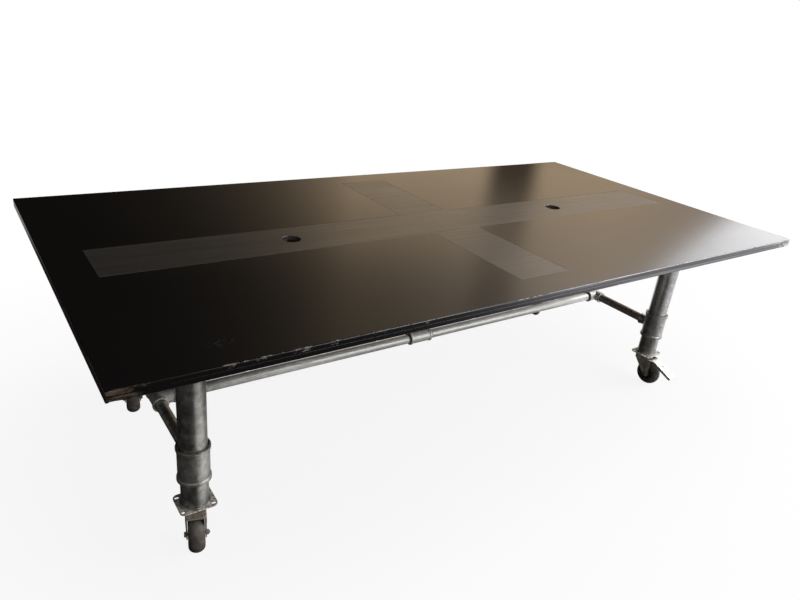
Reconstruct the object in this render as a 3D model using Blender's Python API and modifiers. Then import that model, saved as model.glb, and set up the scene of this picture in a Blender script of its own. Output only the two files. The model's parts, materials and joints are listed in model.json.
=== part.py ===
"""Four-person office desk on a pipe frame with casters.

A black top of two glued sheets, with timber strips set flush into the upper one, stands on four legs
of galvanised pipe. Reducing tees on the legs carry an H of thin pipe, and each leg ends on a swivel
caster. The two casters at the right end have brake pedals.

Metres, +Z up. The origin is on the floor under the middle of the top, and X runs along its length.
"""

import math

import bmesh
import bpy
from mathutils import Matrix

# Fits
GAP = 0.0003  # between pieces that seat on each other
RUNNING = 0.0006  # around a piece that turns
WELD = 0.00001  # points nearer than this are one point
OVERLAP = 0.002  # how far a cutter or a joined shape reaches past a face

# Top
TOP_LENGTH = 2.440
TOP_WIDTH = 1.220
TOP_HEIGHT = 0.715
SHEET = 0.0125  # thickness of each of the two sheets
TOP_CORNER = 0.006
TOP_ARRIS = 0.0012
INLAY_WIDTH = 0.195
INLAY_MARGIN = 0.100  # from the end of a strip to the edge of the top
INLAY_JOINT = 0.0008
CABLE_HOLE = 0.056
CABLE_HOLE_INSET = 0.658  # from a hole to the end of the top

# Legs
LEG_INSET_X = 0.245  # from a leg's axis to the end of the top
LEG_INSET_Y = 0.2885  # and to its long edge, for a frame in the middle
FRAME_SHIFT = 0.010  # the frame stands this far towards the far edge
LEG_PIPE = 0.0730
LEG_WALL = 0.0052
LEG_TEE_LENGTH = 0.104
LEG_SOCKET = 0.032
LEG_FITTING_WALL = 0.0050
LEG_BEAD = 0.0030
LEG_BEAD_WIDTH = 0.012
BRANCH_REACH = 0.066  # from the leg's axis to the end of the side branch
FOOT_WELD = 0.005

# Flanges under the top
FLANGE = 0.152
FLANGE_THICKNESS = 0.008
FLANGE_HUB = 0.030  # overall height
FLANGE_HUB_WALL = 0.0065
FLANGE_FILLET = 0.004
FLANGE_HOLE = 0.0065
FLANGE_HOLE_CIRCLE = 0.124

# Rails
RAIL_HEIGHT = 0.262
RAIL_PIPE = 0.0334
RAIL_WALL = 0.0034
RAIL_SOCKET = 0.020
RAIL_FITTING_WALL = 0.0045
RAIL_BEAD = 0.0025
RAIL_BEAD_WIDTH = 0.009
CENTRE_TEE_LENGTH = 0.078
CENTRE_TEE_REACH = 0.052
COUPLING_LENGTH = 0.092
COUPLING_X = -0.020
COUPLING_STOP = 0.006

# Caster wheels
WHEEL = 0.1016
TYRE_WIDTH = 0.044
TYRE_DEPTH = 0.014
TYRE_ROUND = 0.0125
RIM_WIDTH = 0.034
RIM_DEPTH = 0.005
WEB = 0.010
HUB = 0.026
HUB_WIDTH = 0.045
AXLE = 0.008
AXLE_NUT = 0.013  # across the flats
AXLE_HEAD_HEIGHT = 0.0055
AXLE_TAIL = 0.003  # how far the bolt stands out of its nut

# Caster forks and swivel heads
TRAIL = 0.036  # from the swivel axis to the axle
HEADROOM = 0.0127  # from the tyre to the crown
FORK_WALL = 0.003
FORK_BEND = 0.004
FORK_SPLAY = 0.0015  # how far each leg leans out on its way up to the crown
FORK_FRONT = 0.027
FORK_SKIRT = 0.010
FORK_END = 0.014
FORK_END_TILT = 15.0  # degrees
CROWN_BACK = 0.020  # how far past the axle a plain crown reaches
CROWN_SHORT = 0.005  # how far short of the axle a braked one stops
BALL = 0.007
BALL_CIRCLE = 0.035
CUP_WALL = 0.0022
CUP_DEPTH = 0.0055
RACE_DEPTH = 0.004
KINGPIN = 0.012
KINGPIN_HEAD = 0.021
KINGPIN_HEAD_HEIGHT = 0.003
PLATE_LENGTH = 0.100
PLATE_WIDTH = 0.085
PLATE_THICKNESS = 0.004
PLATE_CORNER = 0.014
PLATE_HOLE = 0.009
PLATE_HOLE_SLOT = 0.005  # how much longer than wide a hole is
PLATE_HOLE_PITCH_X = 0.080
PLATE_HOLE_PITCH_Y = 0.062

# Brake pedals
PEDAL_PIN = 0.006
PEDAL_PIVOT_BACK = 0.004  # behind the axle
PEDAL_PIVOT_DROP = 0.0015  # below the crown's underside
PEDAL_EAR = 0.0075
PEDAL_SHEET = 0.003
PEDAL_SIDE = 0.008  # depth of the turned-down sides
PEDAL_SIDE_SHARE = 0.93  # how far down the toe the turned-down sides run
PEDAL_SIDE_START = 0.35  # and where they start between the pivot and the crest
PEDAL_CREST = 0.0165  # from the tyre to the pedal, at three angles round the axle
PEDAL_CREST_ANGLE = 62.0
PEDAL_KNEE = 0.0320
PEDAL_KNEE_ANGLE = 32.0
PEDAL_TOE = 0.0660
PEDAL_TOE_ANGLE = 13.0
PEDAL_SLOT_LENGTH = 0.012
PEDAL_SLOT_WIDTH = 0.016
PEDAL_SLOT_SHARE = 0.6  # how far the slot lies from the crest to the knee
SHOE_GAP = 0.0008  # from the shoe to the tyre
SHOE_SHEET = 0.003
SHOE_WIDTH = 0.034
SHOE_ANGLE = 70.0

# Direction in which each caster trails, in degrees from +X
CASTER_TRAIL = {"near_left": -107.0, "near_right": -90.0, "far_left": 78.0, "far_right": 40.0}
BRAKED = ("near_right", "far_right")
CORNERS = {"near_left": (-1, -1), "near_right": (1, -1), "far_left": (-1, 1), "far_right": (1, 1)}

# Facets
LEG_STEPS = 18
RAIL_STEPS = 12
WHEEL_STEPS = 18
HEAD_STEPS = 10
SMALL_STEPS = 8
HOLE_STEPS = 6
CABLE_HOLE_STEPS = 20
CORNER_STEPS = 2
SMOOTH_ANGLE = math.radians(35)

# Places that follow from the sizes above
LEG_X = TOP_LENGTH / 2 - LEG_INSET_X
LEG_Y = TOP_WIDTH / 2 - LEG_INSET_Y
CABLE_HOLE_X = TOP_LENGTH / 2 - CABLE_HOLE_INSET
UNDERSIDE = TOP_HEIGHT - 2 * SHEET
AXLE_HEIGHT = WHEEL / 2 * math.cos(math.pi / WHEEL_STEPS)
CROWN_UNDERSIDE = AXLE_HEIGHT + WHEEL / 2 + HEADROOM
CROWN_TOP = CROWN_UNDERSIDE + FORK_WALL
RACE_UNDERSIDE = CROWN_TOP + BALL + 2 * GAP
PLATE_UNDERSIDE = RACE_UNDERSIDE + RACE_DEPTH
CASTER_HEIGHT = PLATE_UNDERSIDE + PLATE_THICKNESS
FORK_GAP = HUB_WIDTH + 2 * RUNNING
PIVOT_U = TRAIL + PEDAL_PIVOT_BACK
PIVOT_Z = CROWN_UNDERSIDE - PEDAL_PIVOT_DROP

# Turns that lay a shape's own Z along another axis
TO_X = (0.0, math.pi / 2, 0.0)
TO_Y = (-math.pi / 2, 0.0, 0.0)
FACE_Y = Matrix.Rotation(math.pi / 2, 4, "X")  # an XY outline stands up in XZ
FACE_X = Matrix(((0, 0, 1, 0), (1, 0, 0, 0), (0, 1, 0, 0), (0, 0, 0, 1)))  # and here in YZ


def clear_scene():
    for obj in list(bpy.data.objects):
        bpy.data.objects.remove(obj)


def new_collection(name):
    made = bpy.data.collections.new(name)
    bpy.context.scene.collection.children.link(made)
    return made


def new_finish(name, colour, roughness, metallic):
    made = bpy.data.materials.new(name)
    made.use_nodes = True
    shader = made.node_tree.nodes["Principled BSDF"]
    shader.inputs["Base Color"].default_value = (*colour, 1.0)
    shader.inputs["Roughness"].default_value = roughness
    shader.inputs["Metallic"].default_value = metallic
    return made


clear_scene()
PARTS = new_collection("pipe_frame_desk")
SHAPING = new_collection("desk_cutters")
BLACK = new_finish("black_board", (0.012, 0.011, 0.010), 0.32, 0.0)
TIMBER = new_finish("stained_timber", (0.022, 0.019, 0.016), 0.45, 0.0)
PIPE = new_finish("galvanised_pipe", (0.40, 0.40, 0.39), 0.42, 1.0)
CASTING = new_finish("galvanised_casting", (0.36, 0.36, 0.35), 0.55, 1.0)
ZINC = new_finish("zinc_plate", (0.52, 0.48, 0.40), 0.40, 1.0)
STEEL = new_finish("bright_steel", (0.60, 0.58, 0.54), 0.30, 1.0)
RUBBER = new_finish("grey_rubber", (0.06, 0.06, 0.06), 0.70, 0.0)
CORE = new_finish("wheel_core", (0.10, 0.10, 0.10), 0.50, 0.0)


def shaping_object(name, data):
    """A cutter or a guide: it shapes parts and isn't one itself."""
    obj = bpy.data.objects.new(name + "_shape", data)
    obj.hide_render = True
    obj.display_type = "WIRE"
    SHAPING.objects.link(obj)
    return obj


def evaluated_mesh(obj):
    bpy.context.view_layer.update()
    graph = bpy.context.evaluated_depsgraph_get()
    mesh = bpy.data.meshes.new_from_object(obj.evaluated_get(graph))
    shape = bmesh.new()
    shape.from_mesh(mesh)
    bmesh.ops.remove_doubles(shape, verts=shape.verts, dist=WELD)
    shape.to_mesh(mesh)
    shape.free()
    return mesh


def turned(name, profile, steps, ring=False):
    """Points of (radius, height), read down the outer side, spun about Z. A ring's profile is closed."""
    points = [(radius, 0.0, height) for radius, height in profile]
    edges = [(i, i + 1) for i in range(len(points) - 1)]
    if ring:
        edges.append((len(points) - 1, 0))
    mesh = bpy.data.meshes.new(name)
    mesh.from_pydata(points, edges, [])
    obj = shaping_object(name, mesh)
    spin = obj.modifiers.new("Spin", "SCREW")
    spin.steps = steps
    spin.render_steps = steps
    spin.use_merge_vertices = True
    spin.merge_threshold = WELD
    return obj


def arc(centre, radius, start, end, steps):
    """Points on a circle from one angle to another, in degrees."""
    angles = [math.radians(start + (end - start) * i / steps) for i in range(steps + 1)]
    return [(centre[0] + radius * math.cos(a), centre[1] + radius * math.sin(a)) for a in angles]


def circle(centre, radius, steps):
    return arc(centre, radius, 0.0, 360.0, steps)[:-1]


def rectangle(length, width, centre=(0.0, 0.0)):
    sides = ((1, 1), (-1, 1), (-1, -1), (1, -1))
    return [(centre[0] + x * length / 2, centre[1] + y * width / 2) for x, y in sides]


def rounded_rectangle(length, width, radius):
    outline = []
    for quarter, (x, y) in enumerate(rectangle(length - 2 * radius, width - 2 * radius)):
        outline += arc((x, y), radius, 90 * quarter, 90 * quarter + 90, CORNER_STEPS)
    return outline


def slot(centre, width, extra):
    """A hole with round ends, longer than wide along X."""
    right = arc((centre[0] + extra / 2, centre[1]), width / 2, -90, 90, HOLE_STEPS // 2)
    left = arc((centre[0] - extra / 2, centre[1]), width / 2, 90, 270, HOLE_STEPS // 2)
    return right + left


def beside(path, offset):
    """A path moved sideways, to its left where the offset is above zero."""
    moved = []
    for i in range(len(path)):
        before = path[max(i - 1, 0)]
        after = path[min(i + 1, len(path) - 1)]
        along = (after[0] - before[0], after[1] - before[1])
        size = math.hypot(*along)
        moved.append((path[i][0] - along[1] / size * offset, path[i][1] + along[0] / size * offset))
    return moved


def bent_strip(path, low, high):
    """Outline of a bent sheet, from low to high beside its path."""
    return beside(path, low) + beside(path, high)[::-1]


def between(start, end, share):
    return tuple(a + (b - a) * share for a, b in zip(start, end))


def flat_sheet(name, outlines, thickness, turn=Matrix.Identity(4)):
    """An outline and its holes, given a thickness about its own plane, then turned."""
    curve = bpy.data.curves.new(name, "CURVE")
    curve.dimensions = "2D"
    curve.fill_mode = "BOTH"
    curve.extrude = thickness / 2
    for outline in outlines:
        spline = curve.splines.new("POLY")
        spline.points.add(len(outline) - 1)
        for point, (x, y) in zip(spline.points, outline):
            point.co = (x, y, 0.0, 1.0)
        spline.use_cyclic_u = True
    guide = shaping_object(name, curve)
    mesh = evaluated_mesh(guide)
    bpy.data.objects.remove(guide)
    mesh.transform(turn)
    return shaping_object(name, mesh)


def cylinder(name, radius, low, high, steps, places=((0.0, 0.0),)):
    """Upright cylinders, one at each place."""
    shape = bmesh.new()
    for x, y in places:
        middle = Matrix.Translation((x, y, (low + high) / 2))
        bmesh.ops.create_cone(
            shape,
            cap_ends=True,
            segments=steps,
            radius1=radius,
            radius2=radius,
            depth=high - low,
            matrix=middle,
        )
    mesh = bpy.data.meshes.new(name)
    shape.to_mesh(mesh)
    shape.free()
    return shaping_object(name, mesh)


def combine(obj, operation, *others):
    for other in others:
        change = obj.modifiers.new(operation.title(), "BOOLEAN")
        change.operation = operation
        change.solver = "EXACT"
        change.object = other
    return obj


def finished_mesh(obj, finish):
    """The mesh that a shape has after its cuts and joins, ready to be shared by its copies."""
    mesh = evaluated_mesh(obj)
    mesh.materials.clear()
    mesh.materials.append(finish)
    mesh.shade_smooth()
    mesh.set_sharp_from_angle(angle=SMOOTH_ANGLE)
    return mesh


def add_part(name, mesh, location=(0.0, 0.0, 0.0), rotation=(0.0, 0.0, 0.0), parent=None):
    obj = bpy.data.objects.new(name, mesh)
    obj.location = location
    obj.rotation_euler = rotation
    obj.parent = parent
    PARTS.objects.link(obj)
    return obj


def add_axis(name, location, rotation, parent=None):
    """An empty on a joint's axis, which carries the pieces that turn there."""
    obj = add_part(name, None, location, rotation, parent)
    obj.empty_display_size = WHEEL / 2
    return obj


def build_top():
    outside = rounded_rectangle(TOP_LENGTH, TOP_WIDTH, TOP_CORNER)
    holes = [circle((x, 0.0), CABLE_HOLE / 2, CABLE_HOLE_STEPS) for x in (-CABLE_HOLE_X, CABLE_HOLE_X)]
    base_thickness = SHEET - GAP
    base = finished_mesh(flat_sheet("base_board", [outside] + holes, base_thickness), BLACK)
    add_part("base_board", base, (0.0, 0.0, UNDERSIDE + base_thickness / 2))

    strip_end = TOP_LENGTH / 2 - INLAY_MARGIN
    cross_end = TOP_WIDTH / 2 - INLAY_MARGIN
    half = INLAY_WIDTH / 2
    quarter = [(strip_end, half), (half, half), (half, cross_end)]
    recess = quarter + [(-x, y) for x, y in reversed(quarter)]
    recess += [(-x, -y) for x, y in recess]
    top = flat_sheet("top_board", [outside, recess], SHEET)
    rounding = top.modifiers.new("Arris", "BEVEL")
    rounding.width = TOP_ARRIS
    rounding.segments = 1
    rounding.limit_method = "ANGLE"
    add_part("top_board", finished_mesh(top, BLACK), (0.0, 0.0, TOP_HEIGHT - SHEET / 2))

    thickness = SHEET - GAP
    height = TOP_HEIGHT - thickness / 2
    strip = rectangle(2 * strip_end - 2 * INLAY_JOINT, INLAY_WIDTH - 2 * INLAY_JOINT)
    centre = finished_mesh(flat_sheet("centre_inlay", [strip] + holes, thickness), TIMBER)
    add_part("centre_inlay", centre, (0.0, 0.0, height))
    cross_length = cross_end - half - INLAY_JOINT
    cross = rectangle(INLAY_WIDTH - 2 * INLAY_JOINT, cross_length)
    cross_mesh = finished_mesh(flat_sheet("cross_inlay", [cross], thickness), TIMBER)
    middle = half + cross_length / 2
    add_part("near_cross_inlay", cross_mesh, (0.0, -middle, height))
    add_part("far_cross_inlay", cross_mesh, (0.0, middle, height))


def fitting_profile(radius, bead, width, top, bottom):
    """Outer side of a cast fitting with a bead round its open ends, from top to bottom."""
    end = [(radius + bead, top), (radius + bead, top - width + bead), (radius, top - width)]
    if bottom < 0:
        far_end = [(r, -h) for r, h in reversed(end)]
    else:
        far_end = [(radius, bottom)]
    return [(0.0, top)] + end + far_end + [(0.0, far_end[-1][1])]


def socket_profile(pipe, wall, end, stop, low):
    """Cutter for a stepped socket: a pipe seats in it from the end to the stop."""
    socket = pipe / 2 + GAP
    bore = pipe / 2 - wall
    upper = [(0.0, end + OVERLAP), (socket, end + OVERLAP), (socket, stop), (bore, stop)]
    if low < 0:
        return upper + [(r, -h) for r, h in reversed(upper)]
    return upper + [(bore, low), (0.0, low)]


def tee_mesh(name, pipe, wall, fitting, bead, width, length, socket, reach, steps):
    """A cast tee: its run is upright and its branch, for a rail pipe, points along +Y."""
    radius = pipe / 2 + GAP + fitting
    body = turned(name, fitting_profile(radius, bead, width, length / 2, -length / 2), steps)
    side_radius = RAIL_PIPE / 2 + GAP + RAIL_FITTING_WALL
    side = turned(
        name + "_branch",
        fitting_profile(side_radius, RAIL_BEAD, RAIL_BEAD_WIDTH, reach, 0.0),
        RAIL_STEPS,
    )
    stop = length / 2 - socket
    run_bore = turned(name + "_bore", socket_profile(pipe, wall, length / 2, stop, -stop), steps)
    side_bore = turned(
        name + "_branch_bore",
        socket_profile(RAIL_PIPE, RAIL_WALL, reach, reach - RAIL_SOCKET, 0.0),
        RAIL_STEPS,
    )
    side.rotation_euler = TO_Y
    side_bore.rotation_euler = TO_Y
    combine(body, "UNION", side)
    combine(body, "DIFFERENCE", run_bore, side_bore)
    return finished_mesh(body, CASTING)


def pipe_mesh(name, pipe, wall, length, steps, weld=0.0):
    """A pipe standing on the origin, with a fillet of weld round its foot if it has one."""
    outer = pipe / 2
    bore = outer - wall
    profile = [(bore, length), (outer, length), (outer, weld)]
    if weld:
        profile.append((outer + weld, 0.0))
    profile.append((bore, 0.0))
    return finished_mesh(turned(name, profile, steps, ring=True), PIPE)


def flange_mesh():
    """A floor flange, its flat face up at height 0, with a hub that the leg's pipe seats in."""
    bore = LEG_PIPE / 2 + GAP
    hub = bore + FLANGE_HUB_WALL
    profile = [
        (bore, 0.0),
        (FLANGE / 2, 0.0),
        (FLANGE / 2, -FLANGE_THICKNESS),
        (hub + FLANGE_FILLET, -FLANGE_THICKNESS),
        (hub, -FLANGE_THICKNESS - FLANGE_FILLET),
        (hub, -FLANGE_HUB),
        (bore, -FLANGE_HUB),
    ]
    body = turned("leg_flange", profile, LEG_STEPS, ring=True)
    places = arc((0.0, 0.0), FLANGE_HOLE_CIRCLE / 2, 45, 315, 3)
    holes = cylinder(
        "flange_holes", FLANGE_HOLE / 2, -FLANGE_THICKNESS - OVERLAP, OVERLAP, HOLE_STEPS, places
    )
    return finished_mesh(combine(body, "DIFFERENCE", holes), CASTING)


def build_legs():
    flange = flange_mesh()
    tee = tee_mesh(
        "leg_tee",
        LEG_PIPE,
        LEG_WALL,
        LEG_FITTING_WALL,
        LEG_BEAD,
        LEG_BEAD_WIDTH,
        LEG_TEE_LENGTH,
        LEG_SOCKET,
        BRANCH_REACH,
        LEG_STEPS,
    )
    stop = LEG_TEE_LENGTH / 2 - LEG_SOCKET + GAP
    pipe_foot = RAIL_HEIGHT + stop
    upper = pipe_mesh("leg_pipe", LEG_PIPE, LEG_WALL, UNDERSIDE - GAP - pipe_foot, LEG_STEPS)
    foot_seat = CASTER_HEIGHT + GAP
    lower = pipe_mesh(
        "leg_foot", LEG_PIPE, LEG_WALL, RAIL_HEIGHT - stop - foot_seat, LEG_STEPS, FOOT_WELD
    )
    for corner, (side_x, side_y) in CORNERS.items():
        x = side_x * LEG_X
        y = FRAME_SHIFT + side_y * LEG_Y
        to_middle = (0.0, 0.0, 0.0) if side_y < 0 else (0.0, 0.0, math.pi)
        add_part("leg_flange_" + corner, flange, (x, y, UNDERSIDE - GAP))
        add_part("leg_pipe_" + corner, upper, (x, y, pipe_foot))
        add_part("leg_tee_" + corner, tee, (x, y, RAIL_HEIGHT), to_middle)
        add_part("leg_foot_" + corner, lower, (x, y, foot_seat))


def coupling_mesh():
    radius = RAIL_PIPE / 2 + GAP + RAIL_FITTING_WALL
    half = COUPLING_LENGTH / 2
    body = turned(
        "rail_coupling", fitting_profile(radius, RAIL_BEAD, RAIL_BEAD_WIDTH, half, -half), RAIL_STEPS
    )
    stop = COUPLING_STOP / 2
    bore = turned(
        "coupling_bore", socket_profile(RAIL_PIPE, RAIL_WALL, half, stop, -stop), RAIL_STEPS
    )
    return finished_mesh(combine(body, "DIFFERENCE", bore), CASTING)


def build_rails():
    cross_start = CENTRE_TEE_LENGTH / 2 - RAIL_SOCKET + GAP
    cross_end = LEG_Y - BRANCH_REACH + RAIL_SOCKET - GAP
    cross = pipe_mesh("cross_rail", RAIL_PIPE, RAIL_WALL, cross_end - cross_start, RAIL_STEPS)
    for corner, (side_x, side_y) in CORNERS.items():
        start = cross_start if side_y > 0 else -cross_end
        add_part("cross_rail_" + corner, cross, (side_x * LEG_X, FRAME_SHIFT + start, RAIL_HEIGHT), TO_Y)

    tee = tee_mesh(
        "centre_tee",
        RAIL_PIPE,
        RAIL_WALL,
        RAIL_FITTING_WALL,
        RAIL_BEAD,
        RAIL_BEAD_WIDTH,
        CENTRE_TEE_LENGTH,
        RAIL_SOCKET,
        CENTRE_TEE_REACH,
        RAIL_STEPS,
    )
    along_run = Matrix(((0, 1, 0), (0, 0, 1), (1, 0, 0))).to_euler()
    along_run_back = Matrix(((0, -1, 0), (0, 0, 1), (-1, 0, 0))).to_euler()
    add_part("centre_tee_left", tee, (-LEG_X, FRAME_SHIFT, RAIL_HEIGHT), along_run)
    add_part("centre_tee_right", tee, (LEG_X, FRAME_SHIFT, RAIL_HEIGHT), along_run_back)

    outer_end = LEG_X - CENTRE_TEE_REACH + RAIL_SOCKET - GAP
    inner_end = COUPLING_STOP / 2 + GAP
    for side, start, end in (
        ("left", -outer_end, COUPLING_X - inner_end),
        ("right", COUPLING_X + inner_end, outer_end),
    ):
        rail = pipe_mesh("long_rail_" + side, RAIL_PIPE, RAIL_WALL, end - start, RAIL_STEPS)
        add_part("long_rail_" + side, rail, (start, FRAME_SHIFT, RAIL_HEIGHT), TO_X)
    add_part("rail_coupling", coupling_mesh(), (COUPLING_X, FRAME_SHIFT, RAIL_HEIGHT), TO_X)


def plate_mesh():
    """Top plate with its bolt slots, the ball race pressed under it and the kingpin riveted in it."""
    places = rectangle(PLATE_HOLE_PITCH_X, PLATE_HOLE_PITCH_Y)
    holes = [slot(place, PLATE_HOLE, PLATE_HOLE_SLOT) for place in places]
    outline = rounded_rectangle(PLATE_LENGTH, PLATE_WIDTH, PLATE_CORNER)
    middle = Matrix.Translation((0.0, 0.0, PLATE_UNDERSIDE + PLATE_THICKNESS / 2))
    body = flat_sheet("caster_plate", [outline] + holes, PLATE_THICKNESS, middle)
    inside = BALL_CIRCLE / 2 - BALL / 2
    outside = BALL_CIRCLE / 2 + BALL / 2 + GAP + CUP_WALL
    root = PLATE_UNDERSIDE + PLATE_THICKNESS / 2
    race = turned(
        "race",
        [(inside, root), (outside, root), (outside, RACE_UNDERSIDE), (inside, RACE_UNDERSIDE)],
        HEAD_STEPS,
        ring=True,
    )
    head_top = CROWN_UNDERSIDE - GAP
    kingpin = turned(
        "kingpin",
        [
            (0.0, root),
            (KINGPIN / 2, root),
            (KINGPIN / 2, head_top),
            (KINGPIN_HEAD / 2, head_top),
            (KINGPIN_HEAD / 2, head_top - KINGPIN_HEAD_HEIGHT),
            (0.0, head_top - KINGPIN_HEAD_HEIGHT),
        ],
        SMALL_STEPS,
    )
    return finished_mesh(combine(body, "UNION", race, kingpin), ZINC)


def balls_mesh():
    """The ring of balls in its cage, round in section."""
    centre = (BALL_CIRCLE / 2, CROWN_TOP + GAP + BALL / 2)
    section = arc(centre, BALL / 2, 90, -270, HOLE_STEPS)[:-1]
    return finished_mesh(turned("swivel_balls", section, HEAD_STEPS, ring=True), STEEL)


def channel_outline():
    """Section of the fork's bent sheet, across the wheel: a crown and two legs that lean in to the axle."""
    inner = FORK_GAP / 2
    outer = inner + FORK_WALL
    low = AXLE_HEIGHT - FORK_END - OVERLAP
    boss = AXLE_HEIGHT + FORK_END
    inner_bend = FORK_BEND - FORK_WALL
    middle = (outer + FORK_SPLAY - FORK_BEND, CROWN_TOP - FORK_BEND)
    outside = [(outer, low), (outer, boss)] + arc(middle, FORK_BEND, 0, 90, CORNER_STEPS)
    inside = [(inner, low), (inner, boss)] + arc(middle, inner_bend, 0, 90, CORNER_STEPS)
    over = outside + [(-x, z) for x, z in reversed(outside)]
    under = inside + [(-x, z) for x, z in reversed(inside)]
    return over + under[::-1]


def fork_outline(braked):
    """Side of the fork: a wide crown that tapers back and down to the axle."""
    crown_back = TRAIL + CROWN_BACK
    if braked:
        back = arc((PIVOT_U, PIVOT_Z), PEDAL_EAR, 90, -45, CORNER_STEPS + 1)
    else:
        back = [(crown_back, CROWN_TOP + OVERLAP), (crown_back, CROWN_UNDERSIDE)]
    end = arc((TRAIL, AXLE_HEIGHT), FORK_END, FORK_END_TILT, FORK_END_TILT - 180, HOLE_STEPS)
    front = [(-FORK_FRONT, CROWN_UNDERSIDE - FORK_SKIRT), (-FORK_FRONT, CROWN_TOP + OVERLAP)]
    return back + end + front


def fork_mesh(name, braked):
    """A stamped fork: a bent channel trimmed to its side outline, with the lower ball cup on top."""
    reach = FORK_FRONT + TRAIL + PEDAL_EAR + FORK_END
    channel = flat_sheet(name, [channel_outline()], 2 * reach, FACE_X)
    width = FORK_GAP + 2 * FORK_SPLAY + 4 * FORK_WALL
    side = flat_sheet(name + "_side", [fork_outline(braked)], width, FACE_Y)
    combine(channel, "INTERSECT", side)
    inside = BALL_CIRCLE / 2 + BALL / 2 + GAP
    top = CROWN_TOP + CUP_DEPTH
    root = CROWN_TOP - FORK_WALL * 2 / 3
    cup = turned(
        name + "_cup",
        [(inside, top), (inside + CUP_WALL, top), (inside + CUP_WALL, root), (inside, root)],
        HEAD_STEPS,
        ring=True,
    )
    combine(channel, "UNION", cup)
    pin_hole = cylinder(
        name + "_pin_hole",
        KINGPIN / 2 + RUNNING,
        CROWN_UNDERSIDE - OVERLAP,
        CROWN_TOP + OVERLAP,
        SMALL_STEPS,
    )
    axle_hole = cylinder(name + "_axle_hole", AXLE / 2 + GAP, -width / 2, width / 2, SMALL_STEPS)
    axle_hole.location = (TRAIL, 0.0, AXLE_HEIGHT)
    axle_hole.rotation_euler = TO_Y
    combine(channel, "DIFFERENCE", pin_hole, axle_hole)
    if braked:
        notch_length = PEDAL_EAR + PEDAL_PIVOT_BACK + CROWN_SHORT + OVERLAP
        notch_front = TRAIL - CROWN_SHORT
        notch_height = CROWN_TOP - CROWN_UNDERSIDE + 2 * OVERLAP
        lift = Matrix.Translation((notch_front + notch_length / 2, 0.0, (CROWN_TOP + CROWN_UNDERSIDE) / 2))
        notch = flat_sheet(name + "_notch", [rectangle(notch_length, FORK_GAP)], notch_height, lift)
        ear_hole = cylinder(name + "_ear_hole", PEDAL_PIN / 2 + GAP, -width / 2, width / 2, SMALL_STEPS)
        ear_hole.location = (PIVOT_U, 0.0, PIVOT_Z)
        ear_hole.rotation_euler = TO_Y
        combine(channel, "DIFFERENCE", notch, ear_hole)
    return finished_mesh(channel, ZINC)


def core_mesh():
    """Wheel core: a long hub, a thin web and a rim under the tyre, upright on the origin."""
    bore = AXLE / 2 + RUNNING
    rim = WHEEL / 2 - TYRE_DEPTH - GAP
    half = [
        (bore, HUB_WIDTH / 2),
        (HUB / 2, HUB_WIDTH / 2),
        (HUB / 2, WEB / 2),
        (rim - RIM_DEPTH, WEB / 2),
        (rim - RIM_DEPTH, RIM_WIDTH / 2),
        (rim, RIM_WIDTH / 2),
    ]
    profile = half + [(r, -h) for r, h in reversed(half)]
    return finished_mesh(turned("wheel_core", profile, WHEEL_STEPS, ring=True), CORE)


def tyre_mesh():
    outer = WHEEL / 2
    inner = outer - TYRE_DEPTH
    shoulder = arc((outer - TYRE_ROUND, TYRE_WIDTH / 2 - TYRE_ROUND), TYRE_ROUND, 90, 0, CORNER_STEPS)
    half = [(inner, TYRE_WIDTH / 2)] + shoulder
    profile = half + [(r, -h) for r, h in reversed(half)]
    return finished_mesh(turned("wheel_tyre", profile, WHEEL_STEPS, ring=True), RUBBER)


def hexagon(centre=(0.0, 0.0)):
    return circle(centre, AXLE_NUT / 2 / math.cos(math.pi / 6), 6)


def bolt_mesh():
    """Axle bolt along Z: the head is at the low end and the tail stands out of the nut."""
    seat = FORK_GAP / 2 + FORK_WALL + GAP
    tail = seat + AXLE_HEAD_HEIGHT + AXLE_TAIL
    lower = Matrix.Translation((0.0, 0.0, -seat - AXLE_HEAD_HEIGHT / 2))
    head = flat_sheet("axle_bolt", [hexagon()], AXLE_HEAD_HEIGHT, lower)
    shank = cylinder("axle_shank", AXLE / 2, -seat - AXLE_HEAD_HEIGHT / 2, tail, SMALL_STEPS)
    return finished_mesh(combine(head, "UNION", shank), STEEL)


def nut_mesh():
    seat = FORK_GAP / 2 + FORK_WALL + GAP
    lift = Matrix.Translation((0.0, 0.0, seat + AXLE_HEAD_HEIGHT / 2))
    bore = circle((0.0, 0.0), AXLE / 2 + GAP, SMALL_STEPS)
    nut = flat_sheet("axle_nut", [hexagon(), bore], AXLE_HEAD_HEIGHT, lift)
    return finished_mesh(nut, STEEL)


def around_tyre(angle, clearance):
    """A point at a clearance from the tyre, seen from the pedal's pivot."""
    radius = WHEEL / 2 + clearance
    u = TRAIL + radius * math.cos(math.radians(angle))
    z = AXLE_HEIGHT + radius * math.sin(math.radians(angle))
    return (u - PIVOT_U, z - PIVOT_Z)


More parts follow.
